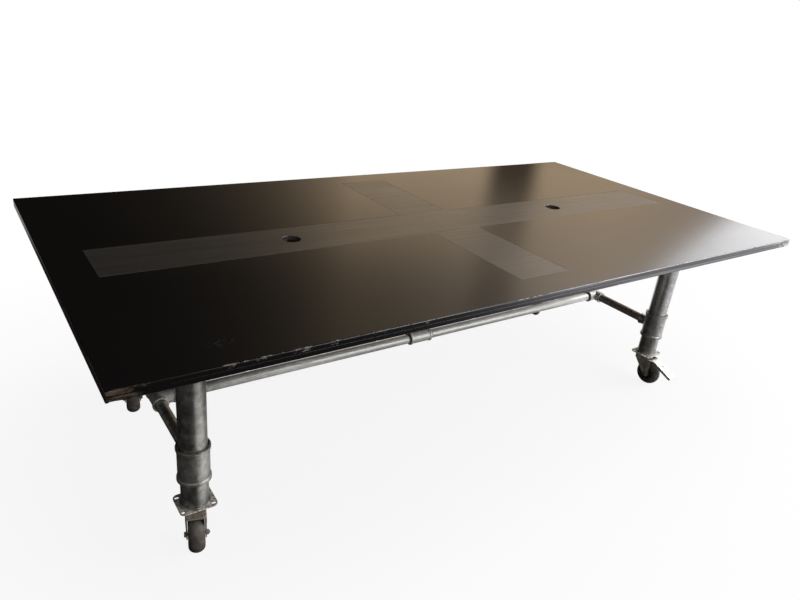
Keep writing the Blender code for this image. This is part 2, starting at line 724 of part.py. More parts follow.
def pedal_mesh():
    """Brake pedal about its pivot: a bent sheet with turned-down sides, a shoe and its pivot pin."""
    crest = around_tyre(PEDAL_CREST_ANGLE, PEDAL_CREST)
    upper = around_tyre(PEDAL_KNEE_ANGLE, PEDAL_KNEE)
    lower = around_tyre(PEDAL_TOE_ANGLE, PEDAL_TOE)
    path = [(0.0, 0.0), crest, upper, lower]
    width = FORK_GAP - 2 * RUNNING
    half = PEDAL_SHEET / 2
    body = flat_sheet("brake_pedal", [bent_strip(path, -half, half)], width, FACE_Y)
    side_start = between(path[0], crest, PEDAL_SIDE_START)
    side_end = between(upper, lower, PEDAL_SIDE_SHARE)
    side_path = [side_start, crest, upper, side_end]
    side_outline = bent_strip(side_path, -PEDAL_SIDE, half / 2)
    for side in (-1, 1):
        lift = Matrix.Translation((0.0, side * (width - PEDAL_SHEET) / 2, 0.0)) @ FACE_Y
        combine(body, "UNION", flat_sheet("pedal_side", [side_outline], PEDAL_SHEET - 2 * GAP, lift))
    shoe_path = [(half, 0.0), around_tyre(SHOE_ANGLE, SHOE_GAP)]
    shoe_outline = bent_strip(shoe_path, 0.0, SHOE_SHEET)
    shoe = flat_sheet("brake_shoe", [shoe_outline], SHOE_WIDTH, FACE_Y)
    pin_half = FORK_GAP / 2 + FORK_SPLAY + FORK_WALL + OVERLAP
    pin = cylinder("pedal_pin", PEDAL_PIN / 2, -pin_half, pin_half, SMALL_STEPS)
    pin.rotation_euler = TO_Y
    combine(body, "UNION", shoe, pin)
    slope = math.atan2(upper[1] - crest[1], upper[0] - crest[0])
    middle = between(crest, upper, PEDAL_SLOT_SHARE)
    lay = Matrix.Translation((middle[0], 0.0, middle[1])) @ Matrix.Rotation(-slope, 4, "Y")
    window = flat_sheet(
        "pedal_slot", [rectangle(PEDAL_SLOT_LENGTH, PEDAL_SLOT_WIDTH)], 4 * PEDAL_SHEET, lay
    )
    combine(body, "DIFFERENCE", window)
    return finished_mesh(body, STEEL)


def build_casters():
    plate = plate_mesh()
    balls = balls_mesh()
    forks = {
        False: fork_mesh("plain_fork", False),
        True: fork_mesh("braked_fork", True),
    }
    core = core_mesh()
    tyre = tyre_mesh()
    bolt = bolt_mesh()
    nut = nut_mesh()
    pedal = pedal_mesh()
    step = 2 * math.pi / WHEEL_STEPS
    flat_down = (-math.pi / 2, (math.pi / 2 - step / 2) % step, 0.0)
    for corner, (side_x, side_y) in CORNERS.items():
        foot = (side_x * LEG_X, FRAME_SHIFT + side_y * LEG_Y, 0.0)
        add_part("caster_plate_" + corner, plate, foot)
        trail = (0.0, 0.0, math.radians(CASTER_TRAIL[corner]))
        swivel = add_axis("swivel_axis_" + corner, foot, trail)
        add_part("swivel_balls_" + corner, balls, parent=swivel)
        add_part("caster_fork_" + corner, forks[corner in BRAKED], parent=swivel)
        axle = (TRAIL, 0.0, AXLE_HEIGHT)
        add_part("wheel_core_" + corner, core, axle, flat_down, swivel)
        add_part("wheel_tyre_" + corner, tyre, axle, flat_down, swivel)
        add_part("axle_bolt_" + corner, bolt, axle, TO_Y, swivel)
        add_part("axle_nut_" + corner, nut, axle, TO_Y, swivel)
        if corner in BRAKED:
            add_part("brake_pedal_" + corner, pedal, (PIVOT_U, 0.0, PIVOT_Z), parent=swivel)


build_top()
build_legs()
build_rails()
build_casters()
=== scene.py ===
"""Four-person desk on a pipe frame: the visible pieces, their finishes and a plain studio.

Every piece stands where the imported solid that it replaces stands. Metres, +Z up.
"""

import json
import math
import random
from functools import partial, reduce

import bmesh
import bpy
from bpy.props import FloatProperty, FloatVectorProperty, IntProperty, PointerProperty
from mathutils import Matrix, Vector, noise


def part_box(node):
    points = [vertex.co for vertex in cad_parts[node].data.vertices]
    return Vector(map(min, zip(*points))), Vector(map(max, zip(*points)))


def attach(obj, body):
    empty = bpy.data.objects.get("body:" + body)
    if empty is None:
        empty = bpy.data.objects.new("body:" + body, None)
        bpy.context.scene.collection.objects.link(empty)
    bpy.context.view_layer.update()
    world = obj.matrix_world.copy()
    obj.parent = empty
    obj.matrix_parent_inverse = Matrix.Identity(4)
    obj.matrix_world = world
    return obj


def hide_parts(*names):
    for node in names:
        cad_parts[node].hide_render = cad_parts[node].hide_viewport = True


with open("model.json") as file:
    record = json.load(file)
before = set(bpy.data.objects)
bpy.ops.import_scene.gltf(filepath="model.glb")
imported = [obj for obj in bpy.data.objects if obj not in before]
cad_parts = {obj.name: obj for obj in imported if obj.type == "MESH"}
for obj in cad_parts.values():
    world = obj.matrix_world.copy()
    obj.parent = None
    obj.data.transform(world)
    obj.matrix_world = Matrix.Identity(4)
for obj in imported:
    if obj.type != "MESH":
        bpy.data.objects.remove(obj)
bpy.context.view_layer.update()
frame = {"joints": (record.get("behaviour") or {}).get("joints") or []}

bl_info = {
    "name": "Pipe-frame desk",
    "version": (1, 0, 0),
    "blender": (4, 5, 0),
    "location": "3D View > Sidebar > Desk",
    "description": "Builds a long desk on a galvanised pipe frame with casters",
    "category": "Object",
}

CORNERS = ("near_left", "near_right", "far_left", "far_right")
BRAKED = ("near_right", "far_right")
JOINTS = {joint["name"]: joint for joint in frame["joints"]}
PLACES = {name: Vector(joint["pos_m"]) for name, joint in JOINTS.items()}

# Fits
GAP = 0.0003
MERGE = 0.000005
STRAIGHT = 0.0003  # a bend shorter than this stays as it is
CREASE = 32.0  # faces that meet at more degrees than this stay sharp
EASED = 50.0  # and edges of pressed and turned metal are eased from here

# Boards
SHEET = 0.0125
BOARD_CORNER = 0.0042
JOINT_WIDTH = 0.0008
JOINT_ARRIS = 0.0003
SHEET_ARRIS = 0.0006  # where the two sheets meet
UNDER_ARRIS = 0.125  # the underside's arris, as a share of the upper one
CABLE_HOLE = 0.056
CABLE_HOLE_X = 0.562
CABLE_HOLE_ARRIS = 0.0012
CABLE_HOLE_STEPS = 64

# Chips on the near edge of the upper sheet, then of the lower one: place along it, length, depth
NEAR_CHIPS = (
    (-1.196, 0.022, 0.0044),
    (-1.158, 0.026, 0.0036),
    (-1.121, 0.015, 0.0030),
    (-0.985, 0.021, 0.0056),
    (-0.905, 0.014, 0.0040),
    (-0.838, 0.016, 0.0054),
    (-0.815, 0.012, 0.0044),
    (-0.742, 0.012, 0.0046),
    (-0.690, 0.007, 0.0036),
    (-0.610, 0.010, 0.0040),
    (-0.480, 0.006, 0.0034),
)
BASE_CHIPS = ((-1.205, 0.017, 0.0042), (-1.172, 0.011, 0.0026))
BASE_SMALL_CHIPS = 16
BASE_CHIPS_FROM = -1.1
BASE_CHIPS_SPAN = 2.3

# Small chips of the upper sheet, and the share of them on the long edges, the near one and the left end
CHIP_LENGTH = (0.0030, 0.0085)
CHIP_DEPTH = (0.0018, 0.0034)
CHIPS_LONG = 0.66
CHIPS_NEAR = 0.75
CHIPS_LEFT = 0.6

# Rough sides of a chip: fineness along it and across it, mean size, unevenness
CHIP_FINENESS = (160, 420, 420)
CHIP_SIZE = 0.85
CHIP_UNEVENNESS = 0.45

# Nicks on the near face: place along it and reach
NEAR_NICKS = (
    (-0.984, 0.016),
    (-0.915, 0.022),
    (-0.828, 0.026),
    (-0.752, 0.014),
    (-0.640, 0.020),
    (-0.500, 0.016),
)

# Pipes and fittings
LEG_WALL = 0.0052
RAIL_WALL = 0.0034
LEG_FITTING_WALL = 0.0050
LEG_BEAD = 0.0030
LEG_BEAD_WIDTH = 0.012
LEG_BRANCH_REACH = 0.066
LEG_BRANCH_FILLET = 0.007
RAIL_FITTING_WALL = 0.0045
RAIL_BEAD = 0.0025
RAIL_BEAD_WIDTH = 0.009
RAIL_SOCKET = 0.020
SMALL_TEE_REACH = 0.052
SMALL_TEE_FILLET = 0.004
BRANCH_STEPS = 56
COUPLING_SOCKET = 0.043
MOUTH = 0.0018  # how much wider than its pipe a fitting's open end is
MOUTH_DEPTH = 0.004
THREAD_PITCH = 0.0022
THREAD_DEPTH = 0.0008
THREAD_SHOWN = 0.009
WELD_BEAD = 0.0034
WELD_CENTRE = (0.35, 0.30)  # middle of the bead out of the corner, as shares of its radius
WELD_SIZE = 0.92
WELD_RIPPLES = 46
WELD_RIPPLE = 0.08
WELD_UNEVENNESS = 0.22
WELD_STEPS = 184
FLANGE_THICKNESS = 0.008
FLANGE_HUB_WALL = 0.0065
FLANGE_FILLET = 0.006
FLANGE_EASE = 0.0012
FLANGE_SCREW_CIRCLE = 0.124
SCREW_HEAD = 0.0125
SCREW_DOME = 0.62  # height of a screw's head, as a share of its half width
SCREW_SLOT = (0.0031, 0.0006, 0.0022)  # half length, half width and floor of its slots
SCREW_SLOT_TOP = 0.006
SCREW_STEPS = 28
PIPE_GRIT = 260.0  # fineness of the skin of a drawn pipe
CAST_GRIT = 170.0  # and of a casting

# Casters
TYRE_DEPTH = 0.018
TYRE_ROUND = 0.0178
TYRE_ROUND_STEPS = 14
TYRE_SEAT = 0.0012  # how much narrower the tyre is on its core, at each side
TYRE_STEPS = 96
RIM_WIDTH = 0.034
RIM_DEPTH = 0.005
WEB = 0.010
HUB = 0.026
HUB_WIDTH = 0.045
HUB_DRAFT = 0.002
HUB_ROOT = (0.004, 0.006)  # where the hub runs out into the web: reach and height
CORE_EASE = 0.0008
CORE_STEPS = 72
RIB_COUNT = 8
RIB = 0.0024
RIB_INSET = 0.003
RIB_ROOT = 0.001
RIB_EASE = 0.0004
AXLE = 0.008
AXLE_EASE = 0.0006
AXLE_STEPS = 32
NUT = 0.013
NUT_HEIGHT = 0.0055  # with its washer
NUT_CHAMFER = 0.0011
NUT_FACE = 0.96  # flat end of a nut, as a share of its width
NUT_STEPS = 40
WASHER = 1.28  # width of a washer, as a share of the nut's
WASHER_HEIGHT = 0.0012
WASHER_EASE = 0.0003
WASHER_STEPS = 36
AXLE_TAIL = 0.003
FORK_WALL = 0.003
FORK_BEND = 0.004
FORK_SPLAY = 0.0015
FORK_FRONT = 0.027
FORK_SKIRT = 0.010
FORK_END = 0.014
FORK_END_TILT = 15.0
FORK_RUNNING = 0.0006
FORK_EASE = 0.0005
CROWN_BACK = 0.020
CROWN_SHORT = 0.005
BALL = 0.007
BALL_COUNT = 14
BALL_STEPS = (16, 10)
BALL_CIRCLE = 0.035
CUP_WALL = 0.0022
CUP_DEPTH = 0.0055
RACE_DEPTH = 0.004
RACE_EASE = 0.0007
RACE_STEPS = 48
KINGPIN = 0.012
KINGPIN_HEAD = 0.021
KINGPIN_HEAD_HEIGHT = 0.003
KINGPIN_EASE = 0.0008
KINGPIN_STEPS = 36
PLATE = (0.100, 0.085)
PLATE_THICKNESS = 0.004
PLATE_CORNER = 0.014
PLATE_EASE = 0.0006
PLATE_SLOT = 0.009
PLATE_SLOT_EXTRA = 0.005
PLATE_SLOT_PITCH = (0.080, 0.062)
PEDAL_SHEET = 0.003
PEDAL_EASE = 0.0004
PEDAL_PIN = 0.006
PEDAL_PIN_TAIL = 0.002
PEDAL_PIN_STEPS = 28
PEDAL_EAR = 0.0075
PEDAL_SIDE = 0.0065
PEDAL_SIDE_ENDS = 0.04  # share of the pedal's length over which its sides stay low at either end
PEDAL_SIDE_RISE = 2.2
PEDAL_FOLD = 0.0035
PEDAL_BEND = 0.020
PEDAL_CREST = (62.0, 0.0165)  # angle round the axle and clearance from the tyre
PEDAL_KNEE = (32.0, 0.0320)
PEDAL_TOE = (13.0, 0.0660)
PEDAL_SLOT = (0.012, 0.016)
PEDAL_SLOT_SHARE = 0.6
TREAD_SHARES = (0.42, 0.60, 0.78)  # places of the tread bars between knee and toe
TREAD_BAR = (0.0016, 0.013)  # half width and half length
TREAD_RISE = (-0.0004, 0.0009)  # its foot and its top, from the sheet's surface
TREAD_EASE = 0.0006
SHOE_ANGLE = 70.0
SHOE_GAP = 0.0008
SHOE_WIDTH = 0.034

# Heights and reaches in a caster
AXLE_HEIGHT = JOINTS["roll_near_left"]["pos_m"][2]
PLATE_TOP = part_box("caster_plate_near_left")[1].z
PLATE_UNDERSIDE = PLATE_TOP - PLATE_THICKNESS
RACE_UNDERSIDE = PLATE_UNDERSIDE - RACE_DEPTH
CROWN_TOP = RACE_UNDERSIDE - BALL - 2 * GAP
CROWN_UNDERSIDE = CROWN_TOP - FORK_WALL
FORK_GAP = HUB_WIDTH + 2 * FORK_RUNNING
TRAIL = (PLACES["roll_near_left"] - PLACES["swivel_near_left"]).xy.length
PIVOT = (
    (PLACES["brake_near_right"] - PLACES["swivel_near_right"]).xy.length,
    JOINTS["brake_near_right"]["pos_m"][2],
)
WHEEL_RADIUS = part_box("wheel_tyre_near_left")[1].z / 2

# Turns
STAND = Matrix.Rotation(math.pi / 2, 4, "X")  # an outline drawn in XY stands up in XZ
ALONG_X = Matrix.Rotation(math.pi / 2, 4, "Y")  # an upright shape lies along X
ALONG_Y = Matrix.Rotation(-math.pi / 2, 4, "X")  # and here along Y
FACE_X = Matrix(((0, 0, 1, 0), (1, 0, 0, 0), (0, 1, 0, 0), (0, 0, 0, 1)))  # an outline stands up across X
LAY_TEE = Matrix(((0, 1, 0, 0), (0, 0, 1, 0), (1, 0, 0, 0), (0, 0, 0, 1)))  # run along Y, branch along X
HALF_TURN = Matrix.Rotation(math.pi, 4, "Z")

# Colours of wear and dirt, and of painted light and shade
SCUFF_GREY = (0.30, 0.29, 0.28)
OLD_WOOD = (0.20, 0.185, 0.185)
NICK_GREY = (0.30, 0.275, 0.255)
# streaks on the near face, their grey also a painted sheen
STREAK_AND_SHEEN_GREY = (0.30, 0.30, 0.31)
# worn arris, lightened further as a painted highlight along it
CREST_WEAR_AND_HIGHLIGHT = (0.50, 0.49, 0.53)
CHIP_TAN = (0.52, 0.47, 0.38)
FOOT_BROWN = (0.30, 0.22, 0.19)
# pale bloom that also paints the light on rails and small fittings
PALE_BLOOM_AND_LIGHT = (0.80, 0.80, 0.76)
# near black of exposed thread and painted shade in a fitting's gap
THREAD_AND_GAP_SHADE = (0.012, 0.010, 0.008)
PIPE_RUST = (0.200, 0.120, 0.076)
CASTER_DIRT = (0.060, 0.045, 0.028)
CASTER_RUST = (0.16, 0.070, 0.030)
SPLASH_GREY = (0.78, 0.75, 0.69)
SPOT_BROWN = (0.18, 0.15, 0.11)
# tan of a painted light on the top of the tyres
TOP_LIGHT_TAN = (0.36, 0.31, 0.26)

# What the metal and the top reflect: warm walls that fade into the dark, by degrees round the desk
SURROUND_RADIUS = 4.0
SURROUND_LIFT = 0.002
SURROUND_HEIGHT = 4.4
SURROUND_STEPS = 72
WALL_BY_WINDOW = (0.72, 0.57, 0.44)
WALL = (1.02, 0.765, 0.495)
CEILING_BY_WINDOW = (1.60, 1.32, 1.07)
CEILING = (0.50, 0.38, 0.25)
DARK_FROM = 62.7
DARKENING = 0.136  # for each degree
DARKEST = 0.009

# Floor, and the lights: place, target and size
FLOOR_HALF = 30.0
OVERHEAD = ((0.2, -0.2, 4.2), (0.0, 0.0, 0.0), (4.0, 3.0))
WINDOW = ((3.0, -2.7, 1.5), (0.0, 0.0, 0.5), (5.6, 2.9))

# Camera
CAMERA_PLACE = (-1.39958, -1.68716, 1.39755)
CAMERA_RIGHT = (0.82190866, -0.56113005, 0.09797559)
CAMERA_UP = (0.16132929, 0.39427329, 0.90472174)
CAMERA_BACK = (-0.54629572, -0.72779231, 0.41458335)
SENSOR = 36.0


def colour_setting(name, description, default):
    return FloatVectorProperty(name=name, description=description, subtype="COLOR", default=default)


def length_setting(name, description, default, least):
    return FloatProperty(name=name, description=description, default=default, min=least, unit="LENGTH")


def power_setting(name, description, default):
    return FloatProperty(name=name, description=description, default=default, unit="POWER")


class BoardSettings(bpy.types.PropertyGroup):
    """Edges and colours of the top."""

    arris: length_setting("Arris", "Rounding of the outer edges", 0.0030, 0.0002)
    small_chips: IntProperty(
        name="Small chips", description="Small chips scattered along the edges", default=46, min=0
    )
    lacquer: colour_setting("Lacquer", "Colour of the black sheets", (0.0062, 0.0056, 0.0055))
    timber: colour_setting("Stained timber", "Colour of the strips", (0.030, 0.027, 0.024))
    bare_wood: colour_setting("Bare wood", "Colour where the lacquer is gone", (0.085, 0.056, 0.036))


class PipeSettings(bpy.types.PropertyGroup):
    """Smoothness and colours of the pipe frame."""

    steps: IntProperty(name="Steps", description="Facets round a leg pipe", default=72, min=12)
    zinc_light: colour_setting("Light zinc", "Colour of clean galvanising", (0.50, 0.50, 0.48))
    zinc_dark: colour_setting("Dark zinc", "Colour of weathered galvanising", (0.24, 0.24, 0.225))
    grime: colour_setting("Grime", "Colour of stains on the pipe", (0.075, 0.066, 0.052))


class CasterSettings(bpy.types.PropertyGroup):
    """Size and colours of the casters."""

    tyre_width: length_setting("Tyre width", "Width of the tyre", 0.044, 0.01)
    zinc: colour_setting("Dusty zinc", "Colour of forks and plates", (0.47, 0.415, 0.355))
    bright: colour_setting("Bright zinc", "Colour of pedals, bolts and nuts", (0.58, 0.57, 0.55))
    rubber: colour_setting("Rubber", "Colour of the tyres", (0.054, 0.047, 0.040))
    core: colour_setting("Wheel core", "Colour of the wheel cores", (0.055, 0.054, 0.052))


class StageSettings(bpy.types.PropertyGroup):
    """Floor, lights and camera."""

    floor: colour_setting("Floor", "Colour of the floor", (0.86, 0.86, 0.86))
    ambient: FloatProperty(name="Ambient", description="Light from all round", default=0.12, min=0.0)
    overhead: power_setting("Overhead", "Power of the overhead light", 80.0)
    window: power_setting("Window", "Power of the side light", 230.0)
    surround: FloatProperty(
        name="Surround", description="Strength of the flags in reflections", default=1.0, min=0.0
    )
    window_colour: FloatVectorProperty(
        name="Window colour", description="The window in reflections", default=(3.05, 3.05, 3.1)
    )
    lens: FloatProperty(name="Lens", description="Focal length", default=29.62, unit="CAMERA")


class DeskSettings(bpy.types.PropertyGroup):
    """All that a user would change."""

    board: PointerProperty(type=BoardSettings)
    pipe: PointerProperty(type=PipeSettings)
    caster: PointerProperty(type=CasterSettings)
    stage: PointerProperty(type=StageSettings)


class Signal:
    """A shader socket. Expressions with signals and numbers add Math nodes."""

    def __init__(self, nodes, socket):
        self.nodes = nodes
        self.socket = socket

    def other(self, output):
        return Signal(self.nodes, self.socket.node.outputs[output])

    def __add__(self, value):
        return self.nodes.maths("ADD", self, value)

    __radd__ = __add__

    def __sub__(self, value):
        return self.nodes.maths("SUBTRACT", self, value)

    def __rsub__(self, value):
        return self.nodes.maths("SUBTRACT", value, self)

    def __mul__(self, value):
        return self.nodes.maths("MULTIPLY", self, value)

    __rmul__ = __mul__

    def __truediv__(self, value):
        return self.nodes.maths("DIVIDE", self, value)

    def __abs__(self):
        return self.nodes.maths("ABSOLUTE", self)


class Nodes:
    """A node tree that is written as expressions."""

    def __init__(self, tree):
        self.tree = tree

    def node(self, kind, settings=None, inputs=None, output=0):
        made = self.tree.nodes.new(kind)
        for key, value in (settings or {}).items():
            setattr(made, key, value)
        for key, value in (inputs or {}).items():
            self.feed(made.inputs[key], value)
        return Signal(self, made.outputs[output])

    def feed(self, socket, value):
        if isinstance(value, Signal):
            self.tree.links.new(value.socket, socket)
        elif socket.type == "RGBA":
            socket.default_value = (*value, 1.0)
        else:
            socket.default_value = value

    def maths(self, operation, *values):
        return self.node("ShaderNodeMath", {"operation": operation}, dict(enumerate(values)))

    def least(self, *values):
        return reduce(partial(self.maths, "MINIMUM"), values)

    def most(self, *values):
        return reduce(partial(self.maths, "MAXIMUM"), values)

    def step(self, value, low, high):
        """0 at low and 1 at high, with a smooth change between."""
        settings = {"interpolation_type": "SMOOTHSTEP", "clamp": True}
        rising = low < high
        limits = {"Value": value, "From Min": min(low, high), "From Max": max(low, high)}
        share = self.node("ShaderNodeMapRange", settings, limits)
        return share if rising else 1 - share

    def mix(self, share, first, second):
        return self.node("ShaderNodeMix", {"data_type": "RGBA"}, {0: share, 6: first, 7: second}, 2)


class Finish(Nodes):
    """A material, read in the piece's own coordinates."""

    def __init__(self, name):
        self.material = bpy.data.materials.new(name)
        self.material.use_nodes = True
        super().__init__(self.material.node_tree)
        self.shader = self.tree.nodes["Principled BSDF"]
        self.place = self.node("ShaderNodeTexCoord", output="Object")
        self.x = self.node("ShaderNodeSeparateXYZ", inputs={0: self.place})
        self.y = self.x.other("Y")
        self.z = self.x.other("Z")

    def scaled(self, stretch):
        return self.node("ShaderNodeMapping", inputs={"Vector": self.place, "Scale": stretch})

    def cloud(self, scale, detail=3.0, roughness=0.5, stretch=None):
        """Noise about 0.5."""
        place = self.scaled(stretch) if stretch else self.place
        inputs = {"Vector": place, "Scale": scale, "Detail": detail, "Roughness": roughness}
        return self.node("ShaderNodeTexNoise", inputs=inputs)

    def patches(self, low, high, scale, detail=3.0, roughness=0.5, stretch=None):
        """Noise in patches: 0 where it is below low and 1 where it is above high."""
        return self.step(self.cloud(scale, detail, roughness, stretch), low, high)

    def cells(self, scale):
        """A random number for each cell of a pattern of crystals."""
        inputs = {"Vector": self.place, "Scale": scale}
        colour = self.node("ShaderNodeTexVoronoi", inputs=inputs, output="Color")
        return self.node("ShaderNodeSeparateColor", inputs={0: colour})

    def bumped(self, height, strength, distance):
        normal = self.node(
            "ShaderNodeBump", inputs={"Height": height, "Strength": strength, "Distance": distance}
        )
        self.feed(self.shader.inputs["Normal"], normal)

    def done(self, **values):
        for name, value in values.items():
            self.feed(self.shader.inputs[name.replace("_", " ").title()], value)
        return self.material


def spun(profile, steps, closed=True):
    """A profile of (radius, height) spun once about Z."""
    shape = bmesh.new()
    points = [shape.verts.new((radius, 0.0, height)) for radius, height in profile]
    pairs = list(zip(points, points[1:]))
    if closed:
        pairs.append((points[-1], points[0]))
    lines = [shape.edges.new(pair) for pair in pairs]
    bmesh.ops.spin(
        shape,
        geom=points + lines,
        cent=(0, 0, 0),
        axis=(0, 0, 1),
        angle=math.tau,
        steps=steps,
        use_merge=True,
    )
    return cleaned(shape)


def cleaned(shape):
    """One closed shape without doubled points, its faces turned outwards."""
    bmesh.ops.remove_doubles(shape, verts=shape.verts, dist=MERGE)
    bmesh.ops.recalc_face_normals(shape, faces=shape.faces)
    if shape.calc_volume(signed=True) < 0:
        bmesh.ops.reverse_faces(shape, faces=shape.faces)
    return shape


def softened(shape, radius, segments=2, sharper=30.0, chosen=None, clamp=True):
    """Rounds the edges at which faces meet at more than an angle, in degrees."""
    limit = math.radians(sharper)
    edges = [edge for edge in shape.edges if edge.is_manifold and edge.calc_face_angle() > limit]
    if chosen:
        edges = [edge for edge in edges if chosen(edge)]
    bmesh.ops.bevel(
        shape, geom=edges, offset=radius, segments=segments, profile=0.5, affect="EDGES", material=-1,
        clamp_overlap=clamp,
    )
    return shape


def eased(shape, radius):
    """Rounds the edges of pressed or turned metal a little."""
    return softened(shape, radius, sharper=EASED)


def rectangle(length, width):
    sides = ((1, 1), (-1, 1), (-1, -1), (1, -1))
    return [(x * length / 2, y * width / 2) for x, y in sides]


def arc(centre, radius, start, end, steps):
    angles = [math.radians(start + (end - start) * i / steps) for i in range(steps + 1)]
    return [(centre[0] + radius * math.cos(a), centre[1] + radius * math.sin(a)) for a in angles]


def slot_outline(centre, width, extra, steps=10):
    right = arc((centre[0] + extra / 2, centre[1]), width / 2, -90, 90, steps)
    return right + arc((centre[0] - extra / 2, centre[1]), width / 2, 90, 270, steps)


def sheet(outlines, thickness):
    """An outline with its holes, from height 0 up to a thickness."""
    shape = bmesh.new()
    for outline in outlines:
        points = [shape.verts.new((x, y, 0.0)) for x, y in outline]
        for pair in zip(points, points[1:] + points[:1]):
            shape.edges.new(pair)
    bmesh.ops.triangle_fill(shape, use_beauty=True, edges=shape.edges)
    raised = bmesh.ops.extrude_face_region(shape, geom=shape.faces[:], use_keep_orig=True)
    points = [item for item in raised["geom"] if isinstance(item, bmesh.types.BMVert)]
    bmesh.ops.translate(shape, verts=points, vec=(0.0, 0.0, thickness))
    return cleaned(shape)


def block(low, high):
    shape = bmesh.new()
    size = [b - a for a, b in zip(low, high)]
    middle = [(a + b) / 2 for a, b in zip(low, high)]
    bmesh.ops.create_cube(shape, size=1.0, matrix=Matrix.Translation(middle) @ Matrix.Diagonal((*size, 1.0)))
    return shape


def rod(radius, low, high, steps):
    shape = bmesh.new()
    middle = Matrix.Translation((0.0, 0.0, (low + high) / 2))
    bmesh.ops.create_cone(
        shape, cap_ends=True, segments=steps, radius1=radius, radius2=radius, depth=high - low, matrix=middle
    )
    return shape


def moved(shape, *turns):
    """The shape, taken through turns and moves from the last to the first."""
    matrix = Matrix.Identity(4)
    for turn in turns:
        matrix = matrix @ (turn if isinstance(turn, Matrix) else Matrix.Translation(turn))
    bmesh.ops.transform(shape, matrix=matrix, verts=shape.verts)
    return shape


def joined(*shapes):
    """Several closed shapes in one, each kept whole."""
    result = shapes[0]
    for shape in shapes[1:]:
        mesh = bpy.data.meshes.new("joining")
        shape.to_mesh(mesh)
        shape.free()
        result.from_mesh(mesh)
        bpy.data.meshes.remove(mesh)
    return result


def worked(shape, other, operation):
    """One closed shape cut by another or fused with it."""
    objects = []
    for item in (shape, other):
        mesh = bpy.data.meshes.new("working")
        item.to_mesh(mesh)
        item.free()
        objects.append(bpy.data.objects.new("working", mesh))
        bpy.context.scene.collection.objects.link(objects[-1])
    change = objects[0].modifiers.new("Work", "BOOLEAN")
    change.operation = operation
    change.solver = "EXACT"
    change.use_self = True
    change.object = objects[1]
    bpy.context.view_layer.update()
    graph = bpy.context.evaluated_depsgraph_get()
    made = bpy.data.meshes.new_from_object(objects[0].evaluated_get(graph))
    result = bmesh.new()
    result.from_mesh(made)
    bpy.data.meshes.remove(made)
    for item in objects:
        mesh = item.data
        bpy.data.objects.remove(item)
        bpy.data.meshes.remove(mesh)
    return cleaned(result)


def add_piece(name, shape, finish, body, slot, *nodes):
    """A finished piece at the origin, which rides on a body and stands for CAD nodes."""
    mesh = bpy.data.meshes.new(name)
    shape.to_mesh(mesh)
    shape.free()
    mesh.materials.append(finish)
    mesh.shade_smooth()
    mesh.set_sharp_from_angle(angle=math.radians(CREASE))
    piece = bpy.data.objects.new(name, mesh)
    bpy.context.scene.collection.objects.link(piece)
    flats = piece.modifiers.new("Flat faces", "WEIGHTED_NORMAL")
    flats.keep_sharp = True
    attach(piece, body)
    if nodes:
        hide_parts(*nodes)


def middle_of(node):
    low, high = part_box(node)
    return (low + high) / 2


def size_of(node):
    low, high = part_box(node)
    return high - low


def caster_place(corner):
    """Takes a caster drawn with its swivel on Z and its wheel towards +X to its corner."""
    swivel = PLACES["swivel_" + corner]
    across = Vector(JOINTS["roll_" + corner]["axis"])
    along = across.cross(Vector((0.0, 0.0, 1.0)))
    return Matrix(
        (
            (along.x, across.x, 0.0, swivel.x),
            (along.y, across.y, 0.0, swivel.y),
            (0.0, 0.0, 1.0, 0.0),
            (0.0, 0.0, 0.0, 1.0),
        )
    )


# Finishes


def shade(colour, factor, limit=math.inf):
    """A colour made lighter or darker."""
    return [min(c * factor, limit) for c in colour]


